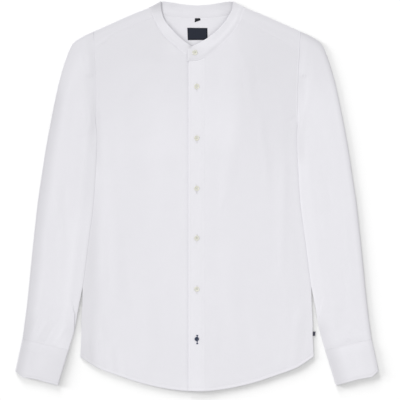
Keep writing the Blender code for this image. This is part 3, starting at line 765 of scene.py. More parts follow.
def front_relief(side, plan, x):
    """What the dressed front adds to its solid: creases, rumples, puckers and rolled edges."""
    y = plan[..., 1]
    hem, arm, top = from_edges(plan, "bottom", "right", "top")
    room = ease(free_of_sleeves(x, y), 0, 14) * ease(top, 0, 25)
    room = room * (0.15 + 0.85 * ease(np.abs(x - (PLACKET_LEFT + PLACKET_RIGHT) / 2), 16, 32))
    height = room * (crease_sum(CHEST_CREASES, x, y, wander=0.25) + relief_noise(x, y, 21))
    height += ease(arm, 0, 12) * crease_sum(HEM_RIPPLES, x, y, 0.1, 0.3, 0.2)
    height += HEM_LIFT * ease(hem, 30, 0) * ease(arm, 2, 27) + hem_relief(hem, x, 5)
    under_sleeve = ease(past_fold(x, y), 1, 7) * (y < SLEEVE_FOLD_Y + 2)
    height -= UNDER_SLEEVE_DROP * under_sleeve + FOLD_GROOVE[side] * beside_fold(x, y)
    beside = PLACKET_LEFT - 2 - x
    swell = PUFF * (ease(beside, 0, 9) - ease(beside, 0, FLAT_MARGIN))
    height += swell * ease(hem, 0, 25) * ease(top, 0, 25)
    height -= 0.2 * bell(x, PLACKET_LEFT - 1.5, 2.2) * (x < 0)
    height += seam_relief(arm, y, -9, 6, roll=0.04)
    return height + seam_relief(top, x, -9, 7, roll=0.05)


print("grid of a front:", front_plan("left").shape)


# %% Fronts
def front_painted_shade(x, y):
    """Painted shade and light on the fronts: darker over the chest and shoulders, beside the
    placket's free edge and along the right side seam, lighter in soft patches and by the armholes."""
    by_armpit = ease(y, 40, 80) * ease(y, 185, 160)
    tint_and_painted_shade = 1 - 0.05 * ease(y, 40, 300) * (1 - 0.25 * ease(x, -60, 0))
    tint_and_painted_shade -= 0.02 * ease(x, 70, 130) * ease(y, -60, 140)
    tint_and_painted_shade += 0.015 * bell(x, -5, 75, 4) * ease(y, -300, -180) * ease(y, 250, 160)
    tint_and_painted_shade -= 0.035 * bell(x, PLACKET_LEFT - 1.6, 1.7)
    tint_and_painted_shade += 0.025 * bell(x, PLACKET_LEFT - 7, 4.5)
    tint_and_painted_shade += 0.035 * bell(x, -46, 26) * bell(y, 294, 20)
    tint_and_painted_shade += 0.03 * ease(x, 94, 64) * ease(y, 75, 135) * (x > PLACKET_RIGHT - 2)
    tint_and_painted_shade += 0.018 * bell(x, -85, 65, 4) * ease(y, 60, 100) * ease(y, 285, 255)
    tint_and_painted_shade += 0.07 * bell(x, x_on(ARMHOLE_LINE, y), 2) * ease(y, 95, 125)
    tint_and_painted_shade -= 0.03 * ease(x, -185, -215) * ease(y, -270, -310)
    tint_and_painted_shade -= 0.035 * bell(x, -197, 5) * by_armpit
    tint_and_painted_shade -= 0.075 * ease(x + x_on(SIDE_LINE, y), 44, 18) * ease(y, 60, -60)
    return tint_and_painted_shade + beside_fold(x, y) * np.where(x > 0, -0.015, 0.03 * (1 - by_armpit))


def make_front(side):
    """The solid's height plus the relief, with seam allowances at three edges."""
    plan = front_plan(side)
    x, y = SIGN[side] * plan[..., 0], plan[..., 1]
    points = stack(plan[..., 0], y, front_top(x, y) + front_relief(side, plan, x))
    arm = ease(points[:, -1, 1], 100, 130)
    points = tongue(points, "right", 0.55 * arm, 0.5 - 0.2 * arm)
    points = tongue(points, "top", 0.45, 0.0)
    if side == "left":
        points = tongue(points, "left", 0.5, 0.05)
    grain = points[..., :2] * (SIGN[side], 1)
    tint_and_painted_shade = front_painted_shade(grain[..., 0], grain[..., 1])
    make_shell("cloth_front_" + side, [for_side(side, points, grain, tint_and_painted_shade)], THIN, white_cotton)


make_front("left")
make_front("right")

# %% [markdown]
# ## Shoulder yoke
#
# The yoke carries the shirt. It is cut double, runs across the upper back, and comes forward
# over the shoulders to a seam on the chest. On a table it is folded along the shoulder, so it
# is built as three grids that are welded: a wing for each shoulder and the middle between
# them, whose upper face shows inside the neck.

# %% Folds of the yoke
YOKE_ROWS = (60, 8, 40)  # under the shoulder, round the fold, in front
YOKE_START_Y = BACK_YOKE_Y + SEAM / 2
NECK_X = SHOULDER[0][0]
NECK_ALLOWANCE = 1.2
DOUBLED = 1.008  # tone: doubled cloth lets less light through and looks whiter
SHOULDER_SHADE = 0.05  # the cloth bends away from the light along the shoulder
YOKE_CREASES = [(120, 352, 186, 318, 6, 0.4), (150, 336, 200, 306, 5, -0.3),
                (-116, 352, -180, 326, 6, 0.35), (-140, 340, -196, 312, 5, -0.3)]


def fold_point(outline, inward, depth, angle):
    """A half round fold beside an outline: angle -90 is its lower end, 90 its upper end."""
    radius = depth / 2
    place = outline + inward * (radius * (1 - np.cos(angle)))[..., None]
    return place, radius * (1 + np.sin(angle))


def step_at(line, t, reach):
    """The step along a line from a little before t to a little after it."""
    return at(line, np.minimum(t + reach, 1)) - at(line, np.maximum(t - reach, 0))


def shoulder_at(out):
    """Points on the shoulder line and the directions into the shirt there."""
    return (at(SHOULDER_LINE, out) - stack(SEAM / 2 * out, 0),
            right_of(step_at(SHOULDER_LINE, out, 0.02)))


print("fold along the shoulder:", YOKE_ROWS[1], "rows round", FRONT_HIGH, "mm")


# %% Wings of the yoke
def yoke_wing(side, columns=70):
    """A grid from the armhole to the neck and from the back seam over the shoulder."""
    low, fold, front = YOKE_ROWS
    out = (1 - close_at_ends(columns, 0.8))[None, :]
    shoulder, inward = shoulder_at(out)
    start = shoulder + inward * FRONT_HIGH / 2
    foot = stack(mix(NECK_X, x_on(ARMHOLE_LINE, BACK_YOKE_Y), out), YOKE_START_Y)
    under = mix(foot, start, (np.arange(low) / low)[:, None, None])
    angle = np.radians(-90 + 180 * np.arange(fold) / fold)[:, None]
    turn, turn_z = fold_point(shoulder, inward, FRONT_HIGH, angle + out * 0)
    part = close_at_ends(front + 1, 0.8)[:, None, None]
    over = mix(start, at(smooth(YOKE_SEAM[side]) + (0, SEAM / 2), out), part)
    # The neck edge goes on under the collar band, more and more on the way up.
    allowance = over[0, -1] - over[0, -2]
    allowance = allowance / np.linalg.norm(allowance) * NECK_ALLOWANCE
    turn[:, -1] += allowance * ((1 + np.sin(angle)) / 2)
    over[:, -1] += allowance
    x, y = SIGN[side] * over[..., 0], over[..., 1]
    seam, neck, arm, bend = from_edges(over, "top", "right", "left", "bottom")
    room = ease(seam, 0, 20) * ease(neck, 0, 14) * ease(arm, 0, 18) * ease(bend, 0, 14)
    z = mix(FRONT_HIGH, front_top(x, y), part[..., 0])
    z += room * (relief_noise(x, y, 31) + crease_sum(YOKE_CREASES, x, y))
    z += seam_relief(seam, x, 1.7, 8, roll=0.12, fold=0.12, fold_width=7)
    z[:, -1] -= 0.3
    over = tongue(stack(over[..., 0], y, z), "top", 0.3, 0.15)
    points = np.vstack([np.pad(under, [(0, 0), (0, 0), (0, 1)]), np.dstack([turn, turn_z]), over])
    x, rows = SIGN[side] * points[..., 0], lengths(points)
    shade = 1 - SHOULDER_SHADE * ease(rows - rows[low + fold // 2], 15, 0) * (rows > 60)
    tint_and_painted_shade = front_painted_shade(x, points[..., 1]) * shade * DOUBLED
    return for_side(side, points, stack(x, rows + BACK_YOKE_Y), tint_and_painted_shade)


print("wing of the yoke:", yoke_wing("left")[0].shape)


# %% Middle of the yoke
def neck_shade(x, y):
    """Painted shade inside the neck, where little light comes in close to the standing band: a
    bell over the distance to its free edge, 5 mm wide, and stronger on the wearer's right."""
    shade = 0.0
    for side, depth in (("right", 0.17 * ease(y, 370, 310)), ("left", 0.08)):
        free_edge = smooth(np.array(BAND[side])[:, 2:4]) * (SIGN[side], 1)
        shade = np.maximum(shade, depth * bell(distance_to(free_edge, x, y), 0, 5.5))
    return 1 - shade


def yoke_middle(columns=141):
    """The part between the shoulders; its neck edge bends to where the folds start."""
    x = NECK_X * (1 - 2 * np.linspace(0, 1, columns))[None, :]
    _place, inward = shoulder_at(np.zeros((1, 1)))
    to_fold = inward[0, 0] * FRONT_HIGH / 2
    bend = ease(np.abs(x) / NECK_X, 0.6, 1)
    part = (np.arange(YOKE_ROWS[0] + 1) / YOKE_ROWS[0])[:, None]
    y = mix(YOKE_START_Y, y_on(smooth(BACK_NECK), np.abs(x)) + to_fold[1] * bend, part)
    y[-1] += 0.4  # its allowance meets the collar band
    x = x + np.sign(x) * to_fold[0] * bend * part
    rise = 0.16 * ease(part, 0.93, 0.99)  # it comes up to the band's inner face
    return stack(x, y, rise), stack(x, y), DOUBLED * neck_shade(x, y)


make_shell("cloth_yoke", [yoke_wing("left"), yoke_middle(), yoke_wing("right")], CLOTH,
           white_cotton)

# %% [markdown]
# ## Placket
#
# The wearer's left front ends in a folded strip that carries the buttonholes. It is several
# layers thick, so it is a stiff, straight band with a crisp free edge, and it lies on top of
# the other front. Two rows of stitches run along it. Between the buttons it swells a little.

# %% Placket
STITCH_IN = 5.2  # the placket's stitch rows lie this far in from its edges
PLACKET_TONE = 1.028


def make_placket():
    """Rows from hem to neck between two straight edges, with a low crown across."""
    u, v = close_at_ends(41, 0.7), close_at_ends(321, 0.6)[:, None]
    x = mix(PLACKET_LEFT, PLACKET_RIGHT, u) + v * 0
    y = mix(y_on(HEM_LINE, x), y_on(neck_line("left"), x) - SEAM, v)
    left, right, hem, top = from_edges(stack(x, y), "left", "right", "bottom", "top")
    crown = ease(left, 0, 9) * ease(right, 0, 9) * ease(top, 0, 12)
    z = PLACKET_TOP + crown * (0.14 + 0.12 * rumple(x, y, 26, 45, 0.0))
    z += HEM_LIFT * ease(hem, 30, 0) + hem_relief(hem, x, 43)
    z += seam_relief(left, y, STITCH_IN, 41) + seam_relief(top, x, -9, 44)
    z += seam_relief(right, y, STITCH_IN, 42, roll=0.03, groove=0.06)
    points = tongue(stack(x, y, z), "right", 0.2, 0.1)
    # Painted light within 3 mm of the top edge, which lightens the shadow under the band's lap.
    tint_and_painted_shade = PLACKET_TONE * (1 + 0.04 * ease(np.column_stack([top, top[:, -1]]), 3, 0))
    make_shell("cloth_placket", [(points, points[..., :2], tint_and_painted_shade)], 1.0, white_cotton)


make_placket()

# %% [markdown]
# ## Collar band
#
# A band collar is a stand without a collar on it: two layers with a stiffener between them. It
# is one strip from its buttonless end, round the back of the neck, to the end that laps over.
# The strip is worked out at stations along it. Each station has a point on the seam and one on
# the free edge; at the sides of the neck the strip folds over, so there the stations turn
# round a half circle. Across the strip the seam edge sinks to the fronts that it is sewn to.

# %% Stations of the band
BAND_STAND = {"right": 2.6, "left": 1.2}  # how far the free edge stands up
BAND_CREASES = [(-44, 376, -30, 370, 4, 0.4), (-8, 371, 8, 366, 5, 0.35),
                (38, 378, 60, 374, 3, 0.3)]
BAND_ROWS = (("bottom", 3.2), ("top", 2.7))  # stitches: how far in from both long edges
FRONT_STATIONS, TURN_STATIONS = 72, 11


def band_at(rows, t):
    """Seam points, free edge points and stand at the fractions t of a part of the band."""
    made = at(smooth(rows), t)
    off = made[:, 2:4] - made[:, :2]
    seam = made[:, :2] + SEAM * off / np.linalg.norm(off, axis=1, keepdims=True)
    return seam, made[:, 2:4], made[:, 4]


def band_half(side, end_height):
    """The front of one side from its end on, and the fold beside the neck down to the lower
    layer: seam points, free edge points, and the heights of both."""
    t = np.linspace(0, 1, FRONT_STATIONS + 1)
    seam, top, stand = band_at(BAND[side], t)
    rise = mix(BAND_DEPTH, end_height, ease(t, 0, 1))
    inward = right_of(seam[:1] - top[:1])
    angle = np.radians(np.linspace(90, -90, TURN_STATIONS))
    seam_turn, seam_z = fold_point(seam[:1], inward, BAND_DEPTH, angle)
    top_turn, top_z = fold_point(top[:1], inward, BAND_DEPTH, angle)
    joined = [(seam * (SIGN[side], 1), seam_turn * (SIGN[side], 1)),
              (top * (SIGN[side], 1), top_turn * (SIGN[side], 1)),
              (rise, seam_z), (rise + stand, top_z)]
    return [np.concatenate([front[:0:-1], turn]) for front, turn in joined]


def band_back():
    """The lower layer behind the neck, from the one side to the other, flat on the table."""
    t = np.linspace(-0.92, 0.92, 95)
    seam, top, _stand = band_at(BAND_BACK, 1 - np.abs(t))
    side = stack(np.where(t < 0, -1, 1), 1)
    return [seam * side, top * side, t * 0, t * 0]


print("stations behind the neck:", len(band_back()[0]))


# %% Collar band
def band_painted_shade(x, y, free, sewn, in_front):
    """Painted light and shade on the band: lighter on its front, darker towards the shoulders and
    round the lapped end, and inside darker at the free edge, which bends away from the light."""
    right_side = 1 - 0.055 * ease(y, 335, 355) - 0.14 * ease(y, 358, 382)
    left_side = 1 + 0.024 * ease(y, 368, 348) * ease(y, 292, 308)
    lap_end = 0.02 * ease(y, 302, 290) + 0.035 * bell(x, -14, 9)
    front = (1 + 0.02 * ease(y - np.where(x > 0, 392, 372), 0, -40))
    front = front * (1 - 0.08 * ease(y, 370, 386)) * np.where(x < 0, right_side, left_side)
    front = front * (1 - lap_end * (y < 303)) * (1 + 0.06 * ease(sewn, 4, 0) * (x < -20))
    front = front * (1 - 0.13 * bell(x, -13, 3) * bell(y, 298.5, 3))
    edge = 0.045 + 0.055 * ease(np.abs(x), 25, 45)
    inside = 1 - edge * ease(free, 20, 0) - 0.05 * ease(x, 38, 58)
    return np.where(in_front > 0.5, front, inside * neck_shade(x, y))


def make_collar_band():
    """Straight across from free edge to seam edge at each station, then the cross-section is
    added: rolled edges, two stitch grooves and a seam edge that sinks to the fronts."""
    groups = [band_half("right", UNDER_LAP_TOP), band_back(),
              [column[::-1] for column in band_half("left", OVER_LAP_TOP)]]
    seam, top, seam_z, top_z = (np.concatenate(columns) for columns in zip(*groups))
    v = close_at_ends(31, 0.7)[:, None]
    plan = mix(top, seam, v[..., None])
    along = lengths(seam) + 0 * v
    free, sewn, left, right = from_edges(plan, "bottom", "top", "left", "right")
    ends = np.minimum(left, right)
    in_front = ease(seam_z, 2.6, 3.0)
    relief = seam_relief(free, along, 3.2, 51) + seam_relief(sewn, along, 2.2, 52, roll=0.1)
    relief += 0.12 * rumple(along, free, 16, 53) * ease(free, 0, 6) * ease(sewn, 0, 6)
    over_fronts = in_front * ease(ends, 34, 64) * (1 - 0.5 * ease(seam[:, 1], 345, 357))
    relief -= (0.7 + 0.7 * over_fronts) * ease(sewn, 9, 0)
    right_stand = ease(ends, 20, 34) * (1 - 0.85 * ease(top[:, 1], 330, 360))
    stands = np.where(np.arange(len(seam)) < len(seam) / 2, BAND_STAND["right"] * right_stand,
                      BAND_STAND["left"] * ease(ends, 34, 64))
    relief += in_front * stands * ease(free, 14, 0)
    slack = 0.25 + 0.25 * rumple(along, free, 24, 54)
    slack = slack + crease_sum(BAND_CREASES, plan[..., 0], plan[..., 1])
    slack = slack * ease(ends, 0, 190) * ease(free, 0, 5) * ease(sewn, 0, 8)
    z = mix(top_z, seam_z, v) - 0.35 * ease(ends, 1, 0) + mix(slack, relief, in_front)
    points = tongue(np.dstack([plan, z]), "top", 0.7, 0.15 * in_front)
    along, free, sewn = (np.vstack([part, part[-1:]]) for part in (along, free, sewn))
    tint_and_painted_shade = band_painted_shade(points[..., 0], points[..., 1], free, sewn, in_front)
    free[-1] += 0.5
    make_shell("cloth_collar_band", [(points, stack(along, free), tint_and_painted_shade)], 1.2, white_cotton)


make_collar_band()

# %% [markdown]
# ## Sleeves
#
# A sleeve is a tube that was pressed flat, so a ring round it has an upper wall, a fold at the
# elbow side, a lower wall and the fold on top of the arm. The rings follow both fold lines
# from the armhole to the cuff. At the armhole the tube starts thin, where the seam holds it,
# and gets its full depth a little further on. Long soft creases run down the upper wall, and
# close to the cuff the cloth is gathered into small pleats.

# %% Flattened tubes
FLAT_WIDTH = 95  # from a sleeve's outer fold to its inner one


def ring_places(upper, fold, lower):
    """Places round a flattened tube: across it, out at a fold, and height as a share."""
    turn = np.pi * np.arange(fold) / fold
    flat_up, flat_low = np.zeros(upper - 1), np.zeros(lower)
    across = np.concatenate([close_at_ends(upper, 0.7)[:-1], turn * 0 + 1,
                             1 - np.arange(lower) / lower, turn * 0])
    out = np.concatenate([flat_up, np.sin(turn), flat_low, -np.sin(turn)])
    lift = np.concatenate([flat_up + 1, (1 + np.cos(turn)) / 2, flat_low, (1 - np.cos(turn)) / 2])
    return across, out, lift


def tube_plan(line, along, places, depth):
    """Places in the plane: each fold is round across its own line, and the walls are
    straight between the folds."""
    across, out, _lift = places
    ring, ahead = at(line, along)[:, None], step_at(line, along, 0.01)[:, None]
    outward = depth / 2 * (1 + np.minimum(out, 0))[:, None]
    inward = depth / 2 * (1 - np.maximum(out, 0))[:, None]
    return mix(ring[..., :2] + right_of(ahead[..., :2]) * outward,
               ring[..., 2:] - right_of(ahead[..., 2:]) * inward, across[:, None])


def ring_grain(points):
    """Texture places on a tube: lengths round its middle ring and down its first line."""
    middle = points[len(points) // 2]
    around = lengths(np.vstack([middle, middle[:1]]))
    return stack(around, lengths(points[:, 10])[:, None])


def upper_swell(across, lift):
    """On the upper wall, from 0 at both folds to 1 between them: the root of a half sine."""
    return np.sqrt(np.sin(np.pi * np.clip(across, 0, 1))) * (lift >= 1)


print("places round a ring of 6 + 2 + 6 + 2:", len(ring_places(7, 2, 6)[0]))

# %% Painted shades of the sleeves
# Painted shade along a sleeve's outer fold, where the cloth bends away from the light: how much
# darker at the fold, how wide, and what share of that goes at the top of the sleeve.
EDGE_SHADE = {"left": (0.09, 9, 0.0), "right": (0.14, 24, 0.5)}
# Painted light on sleeves and cuffs: the wearer's left side a little lighter than the right.
SLEEVE_PAINTED_LIGHT = {"left": 1.02, "right": 0.997}
UPPER_SHADE = {"left": (0.072, 170), "right": (0.012, 60)}  # painted shade towards the shoulder: how much darker, from which y
# Painted light along a sleeve's inner fold; a negative value is painted shade.
INNER_LIGHT = {"left": 0.025, "right": -0.03}


def outer_fold_painted_shade(side, outer, lift, y):
    """A sleeve's or cuff's painted light, with painted shade along its outer fold."""
    shade, reach, gone_above = EDGE_SHADE[side]
    shade = shade * (1 - gone_above * ease(y, 180, 240))
    return SLEEVE_PAINTED_LIGHT[side] * (1 - shade * ease(outer, reach, 0) * (lift > 0.1))


def sleeve_painted_shade(side, across, lift, x, y):
    """Painted shade and light on a sleeve: darker at its outer fold and up to the shoulder."""
    outer, inner, upper = across * FLAT_WIDTH, (1 - across) * FLAT_WIDTH, lift > 0.1
    from_armhole = x - x_on(ARMHOLE_LINE, y)
    darker, start = UPPER_SHADE[side]
    tint_and_painted_shade = outer_fold_painted_shade(side, outer, lift, y) * (1 - 0.07 * ease(outer, 3, 0) * upper)
    brighter = ease(y, SLEEVE_FOLD_Y - 20, SLEEVE_FOLD_Y - 70) * ease(y, -250, -220)
    tint_and_painted_shade = tint_and_painted_shade * (1 + INNER_LIGHT[side] * ease(inner, 6, 0) * brighter)
    tint_and_painted_shade = tint_and_painted_shade * (1 - darker * ease(y, start, start + 130))
    if side == "right":
        by_seam = ease(from_armhole, 16, 0) * ease(y, 305, 280) * ease(y, 110, 140)
        by_cuff = ease(inner, 24, 0) * ease(y, -230, -270) * upper
        tint_and_painted_shade = tint_and_painted_shade * (1 - 0.035 * by_seam - 0.05 * by_cuff)
        tint_and_painted_shade = tint_and_painted_shade * (1 - 0.035 * ease(across, 0.5, 0) * ease(y, -215, -265))
        tint_and_painted_shade = tint_and_painted_shade * (1 + 0.04 * ease(across, 0.55, 0.8) * ease(y, 40, -80))
        return tint_and_painted_shade * (1 + 0.03 * ease(y, 283, 311) + 0.01 * ease(y, 312, 322))
    by_cuff = ease(inner, 26, 0) * ease(y, -235, -275) * upper
    tint_and_painted_shade = tint_and_painted_shade * (1 - 0.085 * by_cuff)
    tint_and_painted_shade = tint_and_painted_shade * (1 + 0.07 * bell(from_armhole, 0, 2) * ease(y, 140, 170))
    return tint_and_painted_shade * (1 - 0.05 * ease(x, 221, 210) * ease(y, 255, 225) * ease(y, 55, 85))


print("tones of the sleeves:", SLEEVE_PAINTED_LIGHT)

# %% Sleeves
SLEEVE_CREASES = [
    (-234, 290, -222, 252, 5, 0.4), (-226, 190, -222, 147, 5, 0.4), (-279, 30, -280, -38, 6, 0.4),
    (-299, -47, -302, -114, 5, 0.4), (-262, 27, -262, -92, 6, -0.4),
    (-278, -58, -283, -172, 6, -0.35), (-250, 240, -262, 130, 9, 0.35),
    (-240, 140, -246, 20, 8, 0.25), (-305, -150, -318, -250, 6, 0.35),
    (-270, -180, -284, -280, 7, 0.3), (-240, -60, -256, -200, 7, 0.25),
    (228, 285, 246, 200, 7, 0.35), (216, 180, 238, 90, 6, 0.25), (262, 170, 280, 60, 9, 0.35),
    (236, 40, 262, -90, 8, 0.3), (296, -40, 312, -170, 7, 0.35), (258, -140, 282, -250, 8, 0.3),
    (250, 60, 268, -20, 5, -0.3), (286, -120, 300, -230, 6, -0.3),
]
CUFF_PLEATS = [
    (268, -255, 300, -286, 4, 0.5), (262, -275, 290, -300, 3.5, 0.4),
    (300, -262, 325, -290, 4, 0.45), (312, -240, 334, -264, 5, 0.4),
    (280, -262, 304, -298, 3.5, -0.4), (318, -262, 338, -282, 4, -0.4),
    (-262, -262, -286, -300, 4, 0.45), (-284, -256, -306, -296, 4, -0.4),
    (-300, -252, -322, -290, 4.5, 0.45), (-318, -240, -336, -284, 4, -0.35),
    (-334, -236, -344, -276, 4, 0.4),
]
FOLD_PRESSED = {"left": 0.62, "right": 0.76}  # how much flatter a sleeve is at its inner fold


def make_sleeve(side):
    """The ground that a ring lies on, plus its lift times the sleeve's depth there, plus the
    relief of the upper wall. A lift to the power of 1.6 makes the folds rounder below."""
    places = ring_places(upper=73, fold=9, lower=25)
    across, _out, lift = places
    inner, along = (1 - across) * FLAT_WIDTH, close_at_ends(221, 0.75)
    plan = tube_plan(smooth(SLEEVE), along, places, SLEEVE_DEPTH)
    # The first ring follows the armhole, and the next ones less and less.
    bow = x_on(ARMHOLE_LINE, plan[0, :, 1]) + 0.25 - plan[0, :, 0]
    plan[..., 0] += bow * ease(along, 0.12, 0)[:, None]
    x, y = SIGN[side] * plan[..., 0], plan[..., 1]
    seam, cuff = from_edges(plan, "bottom", "top")
    ground = sleeve_ground(plan[..., 0], y)
    pressed = np.where(ground > 1, FOLD_PRESSED[side], 0.3) * ease(inner, 22, 0)
    pressed = pressed * ease(seam, 0, 30) * ease(cuff, 0, 30)
    # The lower wall lies on what is below it; the upper one is stretched between the folds.
    ground = ground * (0.66 + 0.18 * ease(inner, 12, 0) * ease(seam, 0, 14))
    fold = np.argmax(across)
    ground = mix(ground, mix(ground[:, :1], ground[:, fold:fold + 1], across), lift)
    seam_top = FRONT_LOW + PUFF * np.clip((y - 288) / 41, 0, 1)  # it rises with the yoke
    thin = np.maximum(seam_top - ground, 0.45)
    depth = mix(thin, SLEEVE_DEPTH, ease(seam, 0, np.where(y > 240, 18, 34))) * (1 - pressed)
    relief = crease_sum(SLEEVE_CREASES, x, y, wander=0.3) + relief_noise(x, y, 61)
    relief = relief * ease(seam, 0, 16) * ease(cuff, 0, 10)
    relief += ease(cuff, 0, 3) * crease_sum(CUFF_PLEATS, x, y, 0.2, 0.35)
    relief += 0.9 * ease(seam, 0, 40) * ease(cuff, -6, 14)
    z = ground + lift ** 1.6 * depth + upper_swell(across, lift) * relief
    z -= 0.05 * bell(seam, 0, 2.2) * (lift >= 1)
    points = stack(plan[..., 0], y, z)
    points = tongue(points, "bottom", 0.1 + 0.5 * lift ** 2, 0.3 * lift ** 2)
    points = tongue(points, "top", 0.9, 0.4 * lift - 0.15)
    tint_and_painted_shade = sleeve_painted_shade(side, across, lift, points[..., 0], points[..., 1])
    make_shell("cloth_sleeve_" + side, [for_side(side, points, ring_grain(points), tint_and_painted_shade)], THIN,
               white_cotton, closed=True)


make_sleeve("left")
make_sleeve("right")

# %% [markdown]
# ## Cuffs
#
# A cuff is a short stiff tube, made of two layers and a stiffener. It is a little deeper than
# the sleeve that runs into it, so its upper edge makes a step. A row of stitches runs close to
# each edge. Its mouth is open, so that the inside shows from the front.

# %% Cuffs
CUFF_ROWS = (("bottom", 1.8), ("top", 4.6))  # stitches: how far in from the seam and the mouth
CUFF_CREASES = [(290, -300, 300, -360, 12, 0.35), (330, -292, 340, -345, 10, 0.3),
                (312, -300, 322, -352, 7, -0.3), (-298, -300, -308, -365, 12, 0.35),
                (-336, -290, -346, -340, 9, 0.3), (-318, -300, -326, -356, 7, -0.3)]


def cuff_painted_shade(side, outer, inner, lift, y):
    """Painted shade: both folds of the left cuff, and all of the right one a little."""
    if side == "left":
        shade = 1 - (1 - 0.13 * ease(inner, 36, 0)) * (1 - 0.03 * ease(outer, 45, 0))
    else:
        shade = 0.03 + 0.025 * ease(inner, 28, 0)
    return outer_fold_painted_shade(side, outer, lift, y) * (1 - shade * (lift > 0.1))


def make_cuff(side):
    """Like a sleeve on level ground, with a bowed mouth and a stitched step at both edges."""
    places = ring_places(upper=61, fold=9, lower=41)
    across, _out, lift = places
    outer, inner, along = across * FLAT_WIDTH, (1 - across) * FLAT_WIDTH, close_at_ends(61, 0.8)
    axis = (CUFF[1] - CUFF[0])[:2]
    axis = axis / np.linalg.norm(axis)
    bow = np.interp(across, *CUFF_EDGE_BOW.T)
    plan = tube_plan(CUFF, along, places, CUFF_DEPTH)
    plan = plan + axis * (along[:, None] * bow)[..., None]
    x, y = SIGN[side] * plan[..., 0], plan[..., 1]
    seam, mouth = from_edges(plan, "bottom", "top")
    relief = 0.5 + 0.25 * rumple(x, y, 24, 71) + crease_sum(CUFF_CREASES, x, y, 0.1, 0.4)
    relief = relief * upper_swell(across, lift) * ease(seam, 0, 8) * ease(mouth, 0, 8)
    (_seam, seam_in), (_mouth, mouth_in) = CUFF_ROWS
    edges = seam_relief(seam, outer, seam_in, 72, roll=0.0, groove=0.06)
    edges = edges + seam_relief(mouth, outer, mouth_in, 73)
    z = lift ** 1.4 * (CUFF_DEPTH - 0.9 * ease(seam, 20, 0)) + relief
    z = z + edges * ((lift >= 1) - 0.4 * (lift <= 0))
    points = stack(plan[..., 0], y, np.maximum(z, 0.0))
    tint_and_painted_shade = cuff_painted_shade(side, outer, inner, lift, y)
    make_shell("cloth_cuff_" + side, [for_side(side, points, ring_grain(points), tint_and_painted_shade)], 1.2,
               white_cotton, closed=True)


make_cuff("left")
make_cuff("right")

# %% [markdown]
# ## Threads, ribbons and button resin
#
# Small finishes need their own detail. Sewing thread is two plies twisted together, a woven
# label is a damask ribbon with fine ribs, and a shirt button is cast resin: smooth, a little
# translucent, and faintly cloudy. All of them are calculated from the place on the piece.


# %% Small finishes
def make_thread(name, colour):
    """Spun thread: a diagonal twist, as a wave over x + y in object space."""
    material, tree = start_material(name, {"Roughness": 0.6})
    place = add_node(tree, "TexCoord", {}).outputs["Object"]
    tint(tree, colour, vary(tree, noise(tree, place, 900), 0.12))
    twist = add_node(tree, "TexWave", {"Scale": 900, "Vector": place}, bands_direction="DIAGONAL")
    bump(tree, twist.outputs["Fac"], 0.00005, 0.6)
    return material


def make_ribbon(name, colour, rib):
    """A ribbon with fine ribs across it: |sin| of the place along the grain."""
    material, tree = start_material(name, {"Roughness": 0.55, "Sheen Weight": 0.03,
                                           "Specular IOR Level": 0.2})
    grain, tint_and_painted_shade = grain_and_tone(tree)
    tint(tree, colour, tint_and_painted_shade, vary(tree, noise(tree, grain, 1200), 0.3))
    bump(tree, weave_height(tree, grain, rib), 0.00008)
    return material


def make_resin(name, colour, roughness, glow):
    """Cast resin: cloudy, with a soft clear surface."""
    material, tree = start_material(name, {
        "Roughness": roughness, "Subsurface Weight": glow, "Subsurface Scale": 0.001,
        "Subsurface Radius": (0.9, 0.8, 0.6), "Coat Weight": 0.1, "Coat Roughness": 0.2})
    place = add_node(tree, "TexCoord", {}).outputs["Object"]
    tint(tree, colour, vary(tree, noise(tree, place, 260, detail=4.0), 0.16))
    bump(tree, noise(tree, place, 1500), 0.00001, 0.4)
    return material


white_thread = make_thread("white_thread", (0.80, 0.795, 0.82))
navy_thread = make_thread("navy_thread", (0.05, 0.06, 0.12))
navy_ribbon = make_ribbon("navy_ribbon", (0.013, 0.017, 0.03), 0.0005)
tag_ribbon = make_ribbon("tag_ribbon", (0.065, 0.066, 0.09), 0.0005)
black_tape = make_ribbon("black_tape", (0.011, 0.012, 0.016), 0.0004)
ivory_resin = make_resin("ivory_resin", (0.70, 0.695, 0.615), 0.38, 0.3)
navy_resin = make_resin("navy_resin", (0.022, 0.034, 0.072), 0.28, 0.0)
print("finishes:", [material.name for material in bpy.data.materials if material.use_nodes])

# %% [markdown]
# ## Stitches
#
# A shirt has thousands of stitches, so one stitch must be cheap. Each is a short thread with
# four sides and both ends sunk into the cloth. All stitches of a seam are one mesh: the
# corners of one stitch are worked out as an array, and numpy repeats it along the seam.


# %% Stitches
def strands(name, pairs, radius, finish, sink=0.6):
    """Threads between pairs of (starts, ends). Four rings of four corners are carried along
    each one: the middle two have the full radius, and the outer two are small and sunk."""
    starts, ends = (np.vstack(part)[:, None, None] for part in zip(*pairs))
    axis = ends - starts
    side = np.pad(right_of(axis[..., :2]), [(0, 0), (0, 0), (0, 0), (0, 1)])
    t = np.array([0, 0.2, 0.8, 1])[:, None, None]
    size = radius * np.array([0.35, 1, 1, 0.35])[:, None]
    low = -sink * radius * np.array([1, 0, 0, 1])[:, None]
    angle = np.radians([45, 135, 225, 315])
    points = starts + axis * t + side * (np.cos(angle) * size)[..., None]
    points[..., 2] += np.sin(angle) * size + low
    corner = np.arange(16).reshape(4, 4)
    walls = cell_corners(np.column_stack([corner, corner[:, 0]]))[..., [0, 3, 2, 1]]
    faces = np.vstack([walls.reshape(-1, 4), corner[0], corner[3][::-1]])
    faces = faces + 16 * np.arange(len(starts))[:, None, None]
    dress(make_mesh(name, points, faces.reshape(-1, 4)), finish)
    print(name, "threads:", len(starts))


